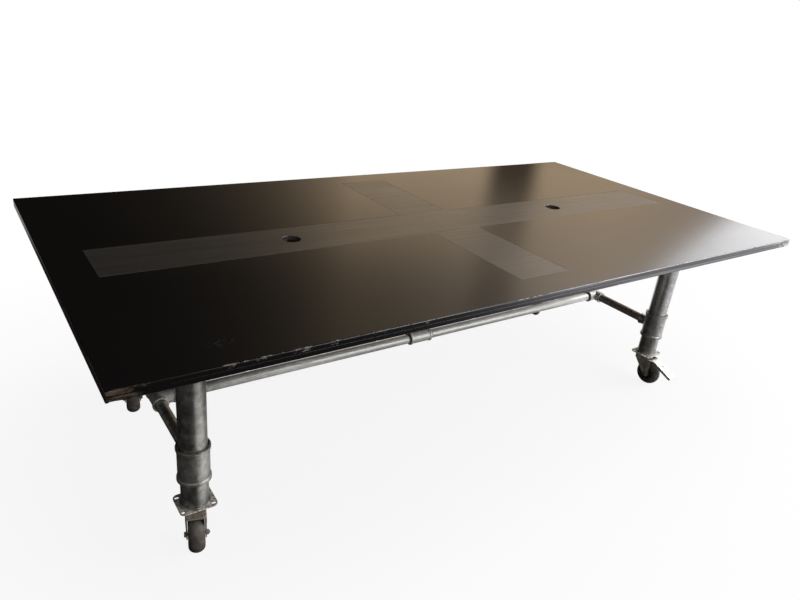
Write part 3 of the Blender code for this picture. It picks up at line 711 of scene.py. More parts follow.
def lacquer_finish(settings):
    """Black satin lacquer, gone to bare wood in chips and where the near-left corner is rubbed, with a
    painted highlight on the arris and a painted sheen on the near face towards the right.
    """
    low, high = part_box("top_board")
    half = (high - low) / 2
    top = high.z
    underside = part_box("base_board")[0].z
    finish = Finish("black_lacquer")
    x, y, z = finish.x, finish.y, finish.z
    beyond_x = finish.most(abs(x) - (half.x - BOARD_CORNER), 0.0)
    beyond_y = finish.most(abs(y) - (half.y - BOARD_CORNER), 0.0)
    side = BOARD_CORNER - finish.maths("SQRT", beyond_x * beyond_x + beyond_y * beyond_y)
    depth = finish.least(top - z, z - underside, side)
    seam = finish.step(abs(z - (top - SHEET)), 0.0014, 0.0009)
    near_side = finish.step(side, BOARD_CORNER * 0.98, BOARD_CORNER * 0.9)
    rounding = 0.32 * settings.arris  # deepest place of a sound arris
    cut = finish.step(depth, rounding, rounding + 0.0003) * near_side * (1 - seam)

    grain = finish.cloud(26.0, 4.0, 0.6, stretch=(0.25, 1.0, 3.0))
    from_left = x + half.x
    near_face = finish.step(y + half.y, 0.0030, 0.0012)
    edge = finish.step(side, 0.0022, 0.0010)
    rub = finish.cloud(60.0, 4.0, 0.65, stretch=(0.3, 0.6, 1.0))
    below = finish.step(top - z, 0.0008, 0.0018)
    upper = finish.step(z, top - SHEET, top - SHEET + 0.001)
    reach = 0.12 + upper * 0.02
    corner = finish.step(from_left / reach, 1.0, 0.25)
    worn_line = finish.step(abs(top - z - 0.0036), 0.0034, 0.0016)
    rubbed = finish.step(rub + corner * 0.27 + worn_line * 0.08 - upper * 0.06, 0.64, 0.86)
    rubbed = rubbed * near_face * below * (1 - seam) * finish.step(corner, 0.0, 0.1)
    crest = finish.step(abs(top - z - 0.0007), 0.0014, 0.0005) * edge
    foot = finish.step(z - underside, 0.0017, 0.0006) * near_face
    dents = finish.cloud(34.0, 5.0, 0.7, stretch=(0.35, 1.0, 1.0))
    # painted light: the right part of the near edge, where the window glares, gets a lighter crest and a
    # sheen
    right = finish.step(x, -0.45, 0.10) * finish.step(y, 0.2, -0.2)
    # the arris worn pale, raised towards the right as a painted highlight
    crest_worn_and_lit = crest * finish.step(dents + right * 0.30, 0.62, 0.70)
    foot_worn = foot * finish.step(dents + finish.step(abs(x + 0.38), 0.55, 0.15) * 0.26, 0.64, 0.72)
    nicks = (finish.step(abs(x - place), length, 0.3 * length) for place, length in NEAR_NICKS)
    nicked = finish.most(*nicks) * finish.patches(0.53, 0.60, 150.0, 5.0, 0.7, stretch=(0.4, 1.0, 1.3))
    nicked = nicked * finish.step(y + half.y, 0.0040, 0.0015) * finish.step(top - z, 0.0105, 0.0060)
    bare = finish.most(cut, rubbed)
    far_right = finish.step(x, half.x - 0.16, half.x - 0.02) * finish.step(y + half.y, 0.020, 0.004)
    chipped = finish.step(rub + far_right * 0.10, 0.56, 0.64) * edge
    # streaks on the near face, shown only towards the right as a painted sheen
    streaks_and_sheen = finish.patches(0.46, 0.62, 30.0, 4.0, 0.6, stretch=(0.04, 1.0, 7.0)) * near_face

    cloud = finish.cloud(1.7, 4.0, 0.6)
    smear = finish.cloud(9.0, 5.0, 0.6, stretch=(0.4, 1.0, 1.0))
    scuff_place = finish.step(abs(x + 0.975) + abs(y + 0.52) * 1.6, 0.055, 0.01)
    scuff = finish.patches(0.54, 0.64, 120.0, 4.0, 0.7) * scuff_place
    scuff = scuff * finish.step(top - z, 0.0004, 0.0001)
    black = finish.mix(cloud, shade(settings.lacquer, 0.8), shade(settings.lacquer, 1.25))
    black = finish.mix(scuff * 0.07, black, SCUFF_GREY)
    wood = finish.mix(grain, shade(settings.bare_wood, 0.55), shade(settings.bare_wood, 1.3))
    inland = finish.step(from_left, 0.10, 0.24)
    wood = finish.mix(inland * 0.8, wood, OLD_WOOD)
    colour = finish.mix(bare, black, wood)
    colour = finish.mix(nicked * 0.7, colour, NICK_GREY)
    colour = finish.mix(streaks_and_sheen * right * 0.35, colour, STREAK_AND_SHEEN_GREY)
    colour = finish.mix(crest_worn_and_lit * 0.85, colour, CREST_WEAR_AND_HIGHLIGHT)
    colour = finish.mix(far_right * chipped * 0.8, colour, CHIP_TAN)
    colour = finish.mix(foot_worn * 0.2, colour, FOOT_BROWN)
    dull = finish.patches(0.35, 0.8, 420.0, 3.0, 0.6)
    roughness = 0.135 + smear * 0.06 + dull * 0.02 + bare * 0.4 + foot * 0.5
    finish.bumped(finish.cloud(210.0, 2.0) + bare * 2.0 * grain, 0.05, 0.0006)
    return finish.done(base_color=colour, roughness=roughness)


def timber_finish(settings):
    """Open-grained timber, stained black, its grain along X."""
    finish = Finish("stained_timber")
    streak = finish.cloud(9.0, 6.0, 0.62, stretch=(0.22, 9.0, 9.0))
    pores = finish.cloud(60.0, 3.0, 0.6, stretch=(0.12, 9.0, 9.0))
    figure = finish.cloud(2.4, 3.0, 0.5, stretch=(0.5, 4.0, 4.0))
    open_pore = finish.step(pores, 0.56, 0.66)
    tone = finish.step(streak * 0.7 + figure * 0.3, 0.36, 0.64)
    colour = finish.mix(tone, shade(settings.timber, 0.70), shade(settings.timber, 1.3))
    colour = finish.mix(open_pore * 0.6, colour, shade(settings.timber, 0.3))
    roughness = 0.33 - tone * 0.05 + open_pore * 0.10
    finish.shader.inputs["IOR"].default_value = 1.9
    return finish.done(base_color=colour, roughness=roughness)


def zinc_finish(name, settings, coarse, rust=0.0, dull=0.33, metal=0.97, pale=0.0, joints=()):
    """Weathered galvanising: crystals, stains, pale bloom that also paints light and fades to painted shade
    at the left end, dark threads at joints with painted shade in their gaps.
    """
    finish = Finish(name)
    crystals = finish.cells(75.0)
    bloom = finish.cloud(17.0, 5.0, 0.62)
    patch = finish.cloud(5.5, 4.0, 0.6, stretch=(1.0, 1.0, 0.55))
    mottle = finish.cloud(95.0, 4.0, 0.7, stretch=(1.0, 1.0, 0.4))
    tone = finish.step(bloom * 0.45 + crystals * 0.14 + patch * 0.22 + mottle * 0.30, 0.40, 0.72)
    colour = finish.mix(tone, settings.zinc_dark, settings.zinc_light)
    stain = finish.patches(0.52, 0.70, 11.0, 6.0, 0.66, stretch=(1.0, 1.0, 0.5))
    colour = finish.mix(stain * 0.62, colour, settings.grime)
    # pale bloom as painted light, faded out as painted shade towards the left end
    bloom_and_painted_light = finish.step(finish.x, -0.88, -0.45) * pale
    colour = finish.mix(bloom_and_painted_light, colour, PALE_BLOOM_AND_LIGHT)
    speck = finish.patches(0.62, 0.72, 160.0, 3.0, 0.6)
    colour = finish.mix(speck * 0.35, colour, settings.grime)
    # at the left end of the coupling and the right tee: exposed thread darkened as painted shade of the gap
    for place in joints:
        thread_and_gap_shade = finish.step(abs(finish.x - place), 0.0075, 0.0045)
        colour = finish.mix(thread_and_gap_shade * 0.9, colour, THREAD_AND_GAP_SHADE)
    brown = finish.patches(0.22, 0.62, 14.0, 5.0, 0.6) * rust
    colour = finish.mix(brown, colour, PIPE_RUST)
    roughness = dull + tone * 0.09 + stain * 0.14 + brown * 0.25
    grit = finish.cloud(coarse, 4.0, 0.65)
    finish.bumped(grit * 0.7 + bloom * 0.3, 0.22, 0.0007)
    metallic = metal - stain * 0.30 - speck * 0.2 - brown * 0.8
    return finish.done(base_color=colour, roughness=roughness, metallic=metallic)


def caster_finish(settings):
    """Pressed steel with zinc gone dusty, dirty in broad patches."""
    finish = Finish("dusty_zinc")
    patch = finish.cloud(34.0, 5.0, 0.62)
    fine = finish.cloud(240.0, 4.0, 0.6)
    tone = finish.step(patch, 0.34, 0.66)
    colour = finish.mix(tone, shade(settings.zinc, 0.62), shade(settings.zinc, 1.28, 0.9))
    dirt = finish.patches(0.50, 0.66, 52.0, 6.0, 0.68)
    colour = finish.mix(dirt * 0.72, colour, CASTER_DIRT)
    rust = finish.patches(0.60, 0.70, 95.0, 5.0, 0.65)
    colour = finish.mix(rust * 0.7, colour, CASTER_RUST)
    near = PLACES["swivel_near_right"]
    far = PLACES["swivel_far_right"]
    along = abs(finish.x) - near.x
    across = abs(finish.y - (near.y + far.y) / 2) - (far.y - near.y) / 2
    reach = finish.maths("SQRT", along * along + across * across)
    above = finish.step(finish.z, PLATE_UNDERSIDE - 0.0005, PLATE_UNDERSIDE + 0.0005)
    splash = finish.step(reach, 0.072, 0.046) * above * finish.patches(0.46, 0.54, 110.0, 4.0, 0.6)
    colour = finish.mix(splash * 0.85, colour, SPLASH_GREY)
    finish.bumped(fine, 0.18, 0.0005)
    roughness = 0.44 + dirt * 0.26 + fine * 0.08
    metallic = 0.50 - dirt * 0.35 - rust * 0.15 - splash * 0.35
    return finish.done(base_color=colour, roughness=roughness, metallic=metallic)


def bright_finish(settings):
    """Bright zinc with a brushed grain and a few dull spots."""
    finish = Finish("bright_zinc")
    brushed = finish.cloud(120.0, 4.0, 0.6, stretch=(1.0, 1.0, 0.15))
    spots = finish.patches(0.56, 0.68, 150.0, 5.0, 0.66)
    colour = finish.mix(brushed, shade(settings.bright, 0.82), shade(settings.bright, 1.12, 0.95))
    colour = finish.mix(spots * 0.6, colour, SPOT_BROWN)
    finish.bumped(brushed, 0.10, 0.0003)
    roughness = 0.27 + brushed * 0.10 + spots * 0.25
    return finish.done(base_color=colour, roughness=roughness, metallic=1.0 - spots * 0.4)


def rubber_finish(settings):
    """Grey rubber with dust trodden into it, and a painted light on the top of the tread."""
    finish = Finish("grey_rubber")
    dust = finish.patches(0.36, 0.74, 70.0, 6.0, 0.66)
    marks = finish.patches(0.52, 0.70, 210.0, 4.0, 0.65)
    colour = finish.mix(dust, settings.rubber, shade(settings.rubber, 2.6))
    colour = finish.mix(marks * 0.4, colour, shade(settings.rubber, 0.5))
    # painted light: the top of the tyre made lighter
    painted_top_light = finish.step(finish.z, 1.45 * AXLE_HEIGHT, 1.85 * AXLE_HEIGHT)
    colour = finish.mix(painted_top_light * 0.3, colour, TOP_LIGHT_TAN)
    finish.bumped(finish.cloud(520.0, 4.0, 0.6) + marks * 0.5, 0.25, 0.0004)
    return finish.done(base_color=colour, roughness=0.62 + dust * 0.25)


def core_finish(settings):
    """Moulded grey core with scuffs."""
    finish = Finish("moulded_core")
    scuff = finish.patches(0.45, 0.72, 85.0, 6.0, 0.65)
    colour = finish.mix(scuff, settings.core, shade(settings.core, 2.4))
    finish.bumped(finish.cloud(400.0, 3.0, 0.6), 0.12, 0.0004)
    return finish.done(base_color=colour, roughness=0.40 + scuff * 0.25)


# Boards


def chip_shape(places, seed):
    """Pebbles with rough sides, one for each (middle, length along, depth, direction)."""
    draw = random.Random(seed)
    shape = bmesh.new()
    for middle, along, depth, direction in places:
        lean = Matrix.Rotation(direction, 4, "Z") @ Matrix.Rotation(draw.uniform(-0.5, 0.5), 4, "X")
        size = Matrix.Diagonal((along, depth, depth * draw.uniform(0.6, 1.0), 1.0))
        made = bmesh.ops.create_icosphere(
            shape, subdivisions=3, radius=1.0, matrix=Matrix.Translation(middle) @ lean @ size
        )
        centre = Vector(middle)
        shift = Vector((draw.uniform(0, 50), draw.uniform(0, 50), draw.uniform(0, 50)))
        for point in made["verts"]:
            away = point.co - centre
            rough = noise.noise(away * Vector(CHIP_FINENESS) + shift)
            point.co = centre + away * (CHIP_SIZE + CHIP_UNEVENNESS * rough)
    return shape


def edge_chips(half, top, count):
    """Where the upper sheet's outer edges are chipped."""
    draw = random.Random(11)
    places = [((x, -half.y, top), length, depth, 0.0) for x, length, depth in NEAR_CHIPS]
    for _ in range(count):
        length = draw.uniform(*CHIP_LENGTH)
        depth = draw.uniform(*CHIP_DEPTH)
        if draw.random() < CHIPS_LONG:
            side = -1 if draw.random() < CHIPS_NEAR else 1
            x = draw.uniform(-half.x, half.x) * 0.985
            if all(abs(x - chip[0]) > chip[1] + length for chip in NEAR_CHIPS) or side > 0:
                places.append(((x, side * half.y, top), length, depth, 0.0))
        else:
            side = -1 if draw.random() < CHIPS_LEFT else 1
            y = draw.uniform(-half.y, half.y) * 0.97
            places.append(((side * half.x, y, top), length, depth, math.pi / 2))
    return places


def board_shape(outlines, thickness, low, half, arris_top, arris_bottom):
    """A sheet of the top with round corners and arrises on its outer edges."""
    shape = sheet(outlines, thickness)

    def outer(edge):
        return all(
            abs(point.co.x) > half.x - 1.1 * BOARD_CORNER or abs(point.co.y) > half.y - 1.1 * BOARD_CORNER
            for point in edge.verts
        )

    def upright(edge):
        return (edge.verts[0].co - edge.verts[1].co).xy.length < MERGE

    def level(height):
        return lambda edge: outer(edge) and all(abs(point.co.z - height) < MERGE for point in edge.verts)

    softened(shape, BOARD_CORNER, 6, 30.0, lambda edge: outer(edge) and upright(edge))
    softened(shape, arris_top, 4, 60.0, level(thickness), clamp=False)
    softened(shape, arris_bottom, 2, 60.0, level(0.0), clamp=False)
    return moved(cleaned(shape), (0.0, 0.0, low))


def cable_holes():
    places = ((-CABLE_HOLE_X, 0.0), (CABLE_HOLE_X, 0.0))
    return [arc(place, CABLE_HOLE / 2, 0, 360, CABLE_HOLE_STEPS)[:-1] for place in places]


def add_boards(settings):
    low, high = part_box("top_board")
    half = (high - low) / 2
    strip = size_of("centre_inlay") / 2 + Vector((JOINT_WIDTH, JOINT_WIDTH, 0.0))
    cross_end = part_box("far_cross_inlay")[1].y + JOINT_WIDTH
    outside = rectangle(2 * half.x, 2 * half.y)
    quarter = [(strip.x, strip.y), (strip.y, strip.y), (strip.y, cross_end)]
    recess = quarter + [(-x, y) for x, y in reversed(quarter)]
    recess += [(-x, -y) for x, y in recess]
    finish = lacquer_finish(settings)

    upper = board_shape([outside, recess], SHEET, low.z, half, settings.arris, SHEET_ARRIS)
    chips = chip_shape(edge_chips(half, high.z, settings.small_chips), 5)
    upper = worked(upper, chips, "DIFFERENCE")
    add_piece("board_upper", upper, finish, "frame", "black_board", "top_board")

    base_low, base_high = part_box("base_board")
    thickness = base_high.z - base_low.z
    under = settings.arris * UNDER_ARRIS
    lower = board_shape([outside] + cable_holes(), thickness, base_low.z, half, SHEET_ARRIS, under)
    draw = random.Random(23)
    places = [((x, -half.y, base_low.z), length, depth, 0.0) for x, length, depth in BASE_CHIPS]
    for index in range(BASE_SMALL_CHIPS):
        x = BASE_CHIPS_FROM + BASE_CHIPS_SPAN * index / BASE_SMALL_CHIPS + draw.uniform(0.0, 0.06)
        length = draw.uniform(0.004, 0.010)
        depth = draw.uniform(0.0010, 0.0022)
        places.append(((x, -half.y, base_low.z), length, depth, 0.0))
    lower = worked(lower, chip_shape(places, 9), "DIFFERENCE")
    add_piece("board_lower", lower, finish, "frame", "black_board", "base_board")


def add_strips(settings):
    finish = timber_finish(settings)
    names = {"centre_inlay": "strip_long", "near_cross_inlay": "strip_near", "far_cross_inlay": "strip_far"}
    for node, name in names.items():
        size = size_of(node)
        middle = middle_of(node)
        outlines = [rectangle(size.x, size.y)]
        if node == "centre_inlay":
            outlines += cable_holes()
        shape = sheet(outlines, size.z)

        def on_top(edge):
            return all(point.co.z > size.z - MERGE for point in edge.verts)

        def rim(edge):
            return on_top(edge) and all(abs(point.co.y) < CABLE_HOLE for point in edge.verts)

        def outer_top(edge):
            return on_top(edge) and all(abs(point.co.y) > size.y * 0.4 for point in edge.verts)

        if node == "centre_inlay":
            softened(shape, CABLE_HOLE_ARRIS, 3, 60.0, rim)
        softened(shape, JOINT_ARRIS, 2, 60.0, outer_top)
        moved(shape, (middle.x, middle.y, middle.z - size.z / 2))
        add_piece(name, shape, finish, "frame", "stained_timber", node)


# Pipe frame


def pipe_shape(radius, wall, length, steps, threads=()):
    """A pipe standing on the origin. A thread shows from each given height up."""
    outer = [(radius, 0.0)]
    for start in threads:
        turns = round(THREAD_SHOWN / THREAD_PITCH)
        for turn in range(turns):
            outer.append((radius, start + turn * THREAD_PITCH))
            outer.append((radius - THREAD_DEPTH, start + (turn + 0.5) * THREAD_PITCH))
        outer.append((radius, start + turns * THREAD_PITCH))
    outer.append((radius, length))
    return spun(outer + [(radius - wall, length), (radius - wall, 0.0)], steps)


def run_shape(pipe, wall, bead, width, length, steps):
    """The straight run of a cast fitting, about the origin: a bead and a wide mouth at each end."""
    radius = pipe + GAP + wall
    half = length / 2
    end = [
        (pipe + GAP, half - MOUTH_DEPTH),
        (pipe + MOUTH, half),
        (radius + bead, half),
        (radius + bead, half - width + bead),
        (radius, half - width),
    ]
    shape = spun(end + [(r, -h) for r, h in reversed(end)], steps)
    return softened(shape, bead * 0.42, 3, 25.0, lambda edge: edge.verts[0].co.xy.length > radius - bead)


def branch_shape(run, pipe, reach, fillet, steps):
    """A side branch along +Y of an upright run: it grows out of the run with a fillet."""
    outer = pipe + GAP + RAIL_FITTING_WALL
    share = (outer / run) ** 4
    rings = []
    fillet_steps = 6
    for index in range(fillet_steps + 1):
        swing = math.pi / 2 * index / fillet_steps
        rings.append(("run", 1 - math.sin(swing), 1 - math.cos(swing)))
    top = outer + RAIL_BEAD
    collar = reach - RAIL_BEAD_WIDTH
    for radius, height in (
        (outer, collar),
        (outer + 0.35 * RAIL_BEAD, collar + 0.15 * RAIL_BEAD),
        (top - 0.3 * RAIL_BEAD, collar + 0.7 * RAIL_BEAD),
        (top, collar + 1.3 * RAIL_BEAD),
        (top, reach - 0.8 * RAIL_BEAD),
        (top - 0.3 * RAIL_BEAD, reach - 0.25 * RAIL_BEAD),
        (top - 0.8 * RAIL_BEAD, reach),
        (pipe + MOUTH, reach),
        (pipe + GAP, reach - MOUTH_DEPTH),
        (pipe + GAP, reach - RAIL_SOCKET),
    ):
        rings.append(("flat", radius, height))

    shape = bmesh.new()
    loop = bmesh.ops.create_circle(shape, segments=steps, radius=1.0)["verts"]
    lines = shape.edges[:]
    for index, (kind, first, second) in enumerate(rings):
        if index:
            grown = bmesh.ops.extrude_edge_only(shape, edges=lines)["geom"]
            loop = [item for item in grown if isinstance(item, bmesh.types.BMVert)]
            lines = [item for item in grown if isinstance(item, bmesh.types.BMEdge)]
            lines = [edge for edge in lines if all(point in set(loop) for point in edge.verts)]
        for point in loop:
            angle = math.atan2(point.co.z, point.co.x) if index else math.atan2(point.co.y, point.co.x)
            if kind == "run":
                local = fillet * (1 - share * math.cos(angle) ** 2)
                radius = outer + local * first
                x = radius * math.cos(angle)
                y = math.sqrt(max(run * run - x * x, 0.0)) + local * second - GAP
            else:
                radius = first
                y = second
            point.co = (radius * math.cos(angle), y, radius * math.sin(angle))
    bmesh.ops.holes_fill(shape, edges=[edge for edge in shape.edges if edge.is_boundary], sides=0)
    return cleaned(shape)


def tee_shape(pipe, wall, bead, width, length, reach, fillet, steps):
    run = run_shape(pipe, wall, bead, width, length, steps)
    rail = size_of("cross_rail_near_left").z / 2
    return joined(run, branch_shape(pipe + GAP + wall, rail, reach, fillet, BRANCH_STEPS))


def weld_shape(radius, seed):
    """A rippled bead of weld in the corner between a pipe and the plate that it stands on."""
    out, up = (share * WELD_BEAD for share in WELD_CENTRE)
    section = arc((radius + out, up), WELD_BEAD, 0, 360, 10)[:-1]
    shape = spun(section, WELD_STEPS)
    draw = random.Random(seed)
    shift = Vector((draw.uniform(0, 40), draw.uniform(0, 40), 0.0))
    for point in shape.verts:
        angle = math.atan2(point.co.y, point.co.x)
        ring = Vector((math.cos(angle), math.sin(angle), 0.0))
        core = ring * (radius + out) + Vector((0.0, 0.0, up))
        ripple = WELD_RIPPLE * math.sin(angle * WELD_RIPPLES)
        ripple += WELD_UNEVENNESS * noise.noise(ring * 4.0 + shift)
        point.co = core + (point.co - core) * (WELD_SIZE + ripple)
        point.co.z = max(point.co.z, -GAP)
    return shape


def flange_shape(pipe, steps):
    """A floor flange, its flat face up at height 0."""
    size = size_of("leg_flange_near_left")
    bore = pipe + GAP
    hub = bore + FLANGE_HUB_WALL
    corner = arc((hub + FLANGE_FILLET, -FLANGE_THICKNESS - FLANGE_FILLET), FLANGE_FILLET, 90, 180, 5)
    profile = [(bore, 0.0), (size.x / 2, 0.0), (size.x / 2, -FLANGE_THICKNESS)] + corner
    profile += [(hub, -size.z), (bore + MOUTH, -size.z), (bore, -size.z + MOUTH_DEPTH)]
    return eased(spun(profile, steps), FLANGE_EASE)


def screw_shapes():
    """Four pan-head screws with cross slots, hanging from height 0."""
    heads = []
    length, width, floor = SCREW_SLOT
    for x, y in arc((0.0, 0.0), FLANGE_SCREW_CIRCLE / 2, 45, 315, 3):
        dome = arc((0.0, 0.0), SCREW_HEAD / 2, 0, 90, 6)
        profile = [(0.0, 0.0)] + [(r, SCREW_DOME * h) for r, h in dome]
        head = spun(profile, SCREW_STEPS, closed=False)
        for turn in (0.0, math.pi / 2):
            slot = block((-length, -width, floor), (length, width, SCREW_SLOT_TOP))
            head = worked(head, moved(slot, Matrix.Rotation(turn + x * 9, 4, "Z")), "DIFFERENCE")
        heads.append(moved(head, (x, y, 0.0), Matrix.Rotation(math.pi, 4, "X")))
    return joined(*heads)


def pipe_finishes(settings):
    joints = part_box("rail_coupling")[0].x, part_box("centre_tee_right")[0].x
    # rails and small fittings: paler, less metallic zinc, painting the light on them
    pale = {"metal": 0.50, "pale": 0.62}
    return {
        "pipe": zinc_finish("galvanised_pipe", settings, PIPE_GRIT),
        "rusty": zinc_finish("rusted_pipe", settings, PIPE_GRIT, rust=0.75),
        "rail": zinc_finish("galvanised_rail", settings, PIPE_GRIT, dull=0.36, joints=joints, **pale),
        "cast": zinc_finish("galvanised_casting", settings, CAST_GRIT, dull=0.40),
        "small": zinc_finish("galvanised_fitting", settings, CAST_GRIT, dull=0.40, **pale),
    }


def add_legs(settings, finishes):
    pipe = size_of("leg_pipe_near_left").x / 2
    steps = settings.steps
    for corner in CORNERS:
        leg = middle_of("leg_pipe_" + corner)

        def add(name, node, shape, height, finish, slot):
            moved(shape, (leg.x, leg.y, height))
            add_piece(name + corner, shape, finishes[finish], "frame", slot, node + corner)

        low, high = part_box("leg_pipe_" + corner)
        shape = pipe_shape(pipe, LEG_WALL, high.z - low.z, steps)
        add("leg_upper_", "leg_pipe_", shape, low.z, "pipe", "galvanised_pipe")

        low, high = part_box("leg_foot_" + corner)
        shape = pipe_shape(pipe, LEG_WALL, high.z - low.z, steps)
        shape = joined(shape, weld_shape(pipe, corner))
        add("leg_lower_", "leg_foot_", shape, low.z, "pipe", "galvanised_pipe")

        low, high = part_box("leg_tee_" + corner)
        shape = tee_shape(
            pipe, LEG_FITTING_WALL, LEG_BEAD, LEG_BEAD_WIDTH,
            high.z - low.z, LEG_BRANCH_REACH, LEG_BRANCH_FILLET, steps,
        )
        if corner.startswith("far"):
            moved(shape, HALF_TURN)
        add("tee_", "leg_tee_", shape, (low.z + high.z) / 2, "cast", "galvanised_casting")

        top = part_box("leg_flange_" + corner)[1].z
        add("flange_", "leg_flange_", flange_shape(pipe, steps), top, "cast", "galvanised_casting")


def add_rails(settings, finishes):
    rail = size_of("cross_rail_near_left").z / 2
    steps = settings.steps * 2 // 3
    for corner in CORNERS:
        node = "cross_rail_" + corner
        low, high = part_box(node)
        middle = (low + high) / 2
        length = high.y - low.y
        shape = pipe_shape(rail, RAIL_WALL, length, steps, (length - RAIL_SOCKET - THREAD_SHOWN,))
        turn = ALONG_Y
        start = low.y
        if corner.startswith("near"):
            turn = HALF_TURN @ ALONG_Y
            start = high.y
        finish = finishes["rusty" if corner.endswith("right") else "pipe"]
        shape = moved(shape, (middle.x, start, middle.z), turn)
        add_piece("rail_" + corner, shape, finish, "frame", "galvanised_pipe", node)
    for side in ("left", "right"):
        node = "long_rail_" + side
        low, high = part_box(node)
        middle = (low + high) / 2
        length = high.x - low.x
        threads = (RAIL_SOCKET, length - COUPLING_SOCKET - THREAD_SHOWN)
        shape = pipe_shape(rail, RAIL_WALL, length, steps, threads)
        if side == "left":
            shape = moved(shape, (low.x, middle.y, middle.z), ALONG_X)
        else:
            shape = moved(shape, (high.x, middle.y, middle.z), HALF_TURN, ALONG_X)
        add_piece("rail_" + side, shape, finishes["rail"], "frame", "galvanised_pipe", node)

        node = "centre_tee_" + side
        shape = tee_shape(
            rail, RAIL_FITTING_WALL, RAIL_BEAD, RAIL_BEAD_WIDTH,
            size_of(node).y, SMALL_TEE_REACH, SMALL_TEE_FILLET, steps,
        )
        turn = HALF_TURN @ LAY_TEE if side == "right" else LAY_TEE
        shape = moved(shape, (middle_of("leg_tee_near_" + side).x, middle.y, middle.z), turn)
        add_piece("small_tee_" + side, shape, finishes["small"], "frame", "galvanised_casting", node)
    node = "rail_coupling"
    shape = run_shape(rail, RAIL_FITTING_WALL, RAIL_BEAD, RAIL_BEAD_WIDTH, size_of(node).x, steps)
    shape = moved(shape, middle_of(node), ALONG_X)
    add_piece("coupling", shape, finishes["small"], "frame", "galvanised_casting", node)


# Casters


def plate_shape():
    """Top plate with its bolt slots, the upper ball race under it and the kingpin."""
    slots = [slot_outline(place, PLATE_SLOT, PLATE_SLOT_EXTRA) for place in rectangle(*PLATE_SLOT_PITCH)]
    plate = sheet([rectangle(*PLATE)] + slots, PLATE_THICKNESS)

    def corner(edge):
        flat = (edge.verts[0].co - edge.verts[1].co).xy.length < MERGE
        return flat and abs(edge.verts[0].co.x) > PLATE[0] / 2 - MERGE

    softened(plate, PLATE_CORNER, 7, 30.0, corner)
    eased(plate, PLATE_EASE)
    moved(cleaned(plate), (0.0, 0.0, PLATE_UNDERSIDE))
    inside = BALL_CIRCLE / 2 - BALL / 2
    outside = BALL_CIRCLE / 2 + BALL / 2 + GAP + CUP_WALL
    root = PLATE_UNDERSIDE + PLATE_THICKNESS / 2
    section = [(inside, root), (outside, root), (outside, RACE_UNDERSIDE), (inside, RACE_UNDERSIDE)]
    race = spun(section, RACE_STEPS)
    head = CROWN_UNDERSIDE - GAP
    foot = head - KINGPIN_HEAD_HEIGHT
    profile = [(0.0, root), (KINGPIN / 2, root), (KINGPIN / 2, head)]
    profile += [(KINGPIN_HEAD / 2, head), (KINGPIN_HEAD / 2, foot), (0.0, foot)]
    pin = spun(profile, KINGPIN_STEPS, closed=False)
    return joined(plate, eased(race, RACE_EASE), eased(pin, KINGPIN_EASE))


def bearing_shape():
    """Balls between the fork's cup and the plate's race."""
    shape = bmesh.new()
    for index in range(BALL_COUNT):
        angle = math.tau * index / BALL_COUNT
        x = BALL_CIRCLE / 2 * math.cos(angle)
        y = BALL_CIRCLE / 2 * math.sin(angle)
        place = Matrix.Translation((x, y, CROWN_TOP + GAP + BALL / 2))
        bmesh.ops.create_uvsphere(
            shape, u_segments=BALL_STEPS[0], v_segments=BALL_STEPS[1], radius=BALL / 2, matrix=place
        )
    return shape


def channel_outline():
    """Section of a fork's sheet across the wheel: a crown and two legs that lean in to the axle."""
    inner = FORK_GAP / 2
    outer = inner + FORK_WALL
    low = AXLE_HEIGHT - FORK_END - FORK_WALL
    boss = AXLE_HEIGHT + FORK_END
    middle = (outer + FORK_SPLAY - FORK_BEND, CROWN_TOP - FORK_BEND)
    outside = [(outer, low), (outer, boss)] + arc(middle, FORK_BEND, 0, 90, 6)
    inside = [(inner, low), (inner, boss)] + arc(middle, FORK_BEND - FORK_WALL, 0, 90, 3)
    over = outside + [(-x, z) for x, z in reversed(outside)]
    under = inside + [(-x, z) for x, z in reversed(inside)]
    return over + under[::-1]


def fork_shape(braked):
    """A pressed fork: a crown with two legs that taper to the axle, and the lower ball cup."""
    if braked:
        back = arc(PIVOT, PEDAL_EAR, 90, -45, 10)
    else:
        rear = TRAIL + CROWN_BACK
        back = [(rear, CROWN_TOP + FORK_WALL), (rear, CROWN_UNDERSIDE - FORK_WALL)]
    end = arc((TRAIL, AXLE_HEIGHT), FORK_END, FORK_END_TILT, FORK_END_TILT - 180, 16)
    front = [(-FORK_FRONT, CROWN_UNDERSIDE - FORK_SKIRT), (-FORK_FRONT, CROWN_TOP + FORK_WALL)]
    reach = FORK_FRONT + TRAIL + CROWN_BACK
    width = FORK_GAP + 2 * FORK_SPLAY + 4 * FORK_WALL
    channel = moved(sheet([channel_outline()], 2 * reach), FACE_X, (0.0, 0.0, -reach))
    side = moved(sheet([back + end + front], width), STAND, (0.0, 0.0, -width / 2))
    body = worked(channel, side, "INTERSECT")
    if braked:
        notch = block((TRAIL - CROWN_SHORT, -FORK_GAP / 2, CROWN_UNDERSIDE - GAP), (1.0, FORK_GAP / 2, 1.0))
        body = worked(body, notch, "DIFFERENCE")
    eased(body, FORK_EASE)
    bore = BALL_CIRCLE / 2 + BALL / 2 + GAP
    top = CROWN_TOP + CUP_DEPTH
    root = CROWN_TOP - FORK_WALL / 2
    cup = spun([(bore, top), (bore + CUP_WALL, top), (bore + CUP_WALL, root), (bore, root)], RACE_STEPS)
    return joined(body, eased(cup, RACE_EASE))


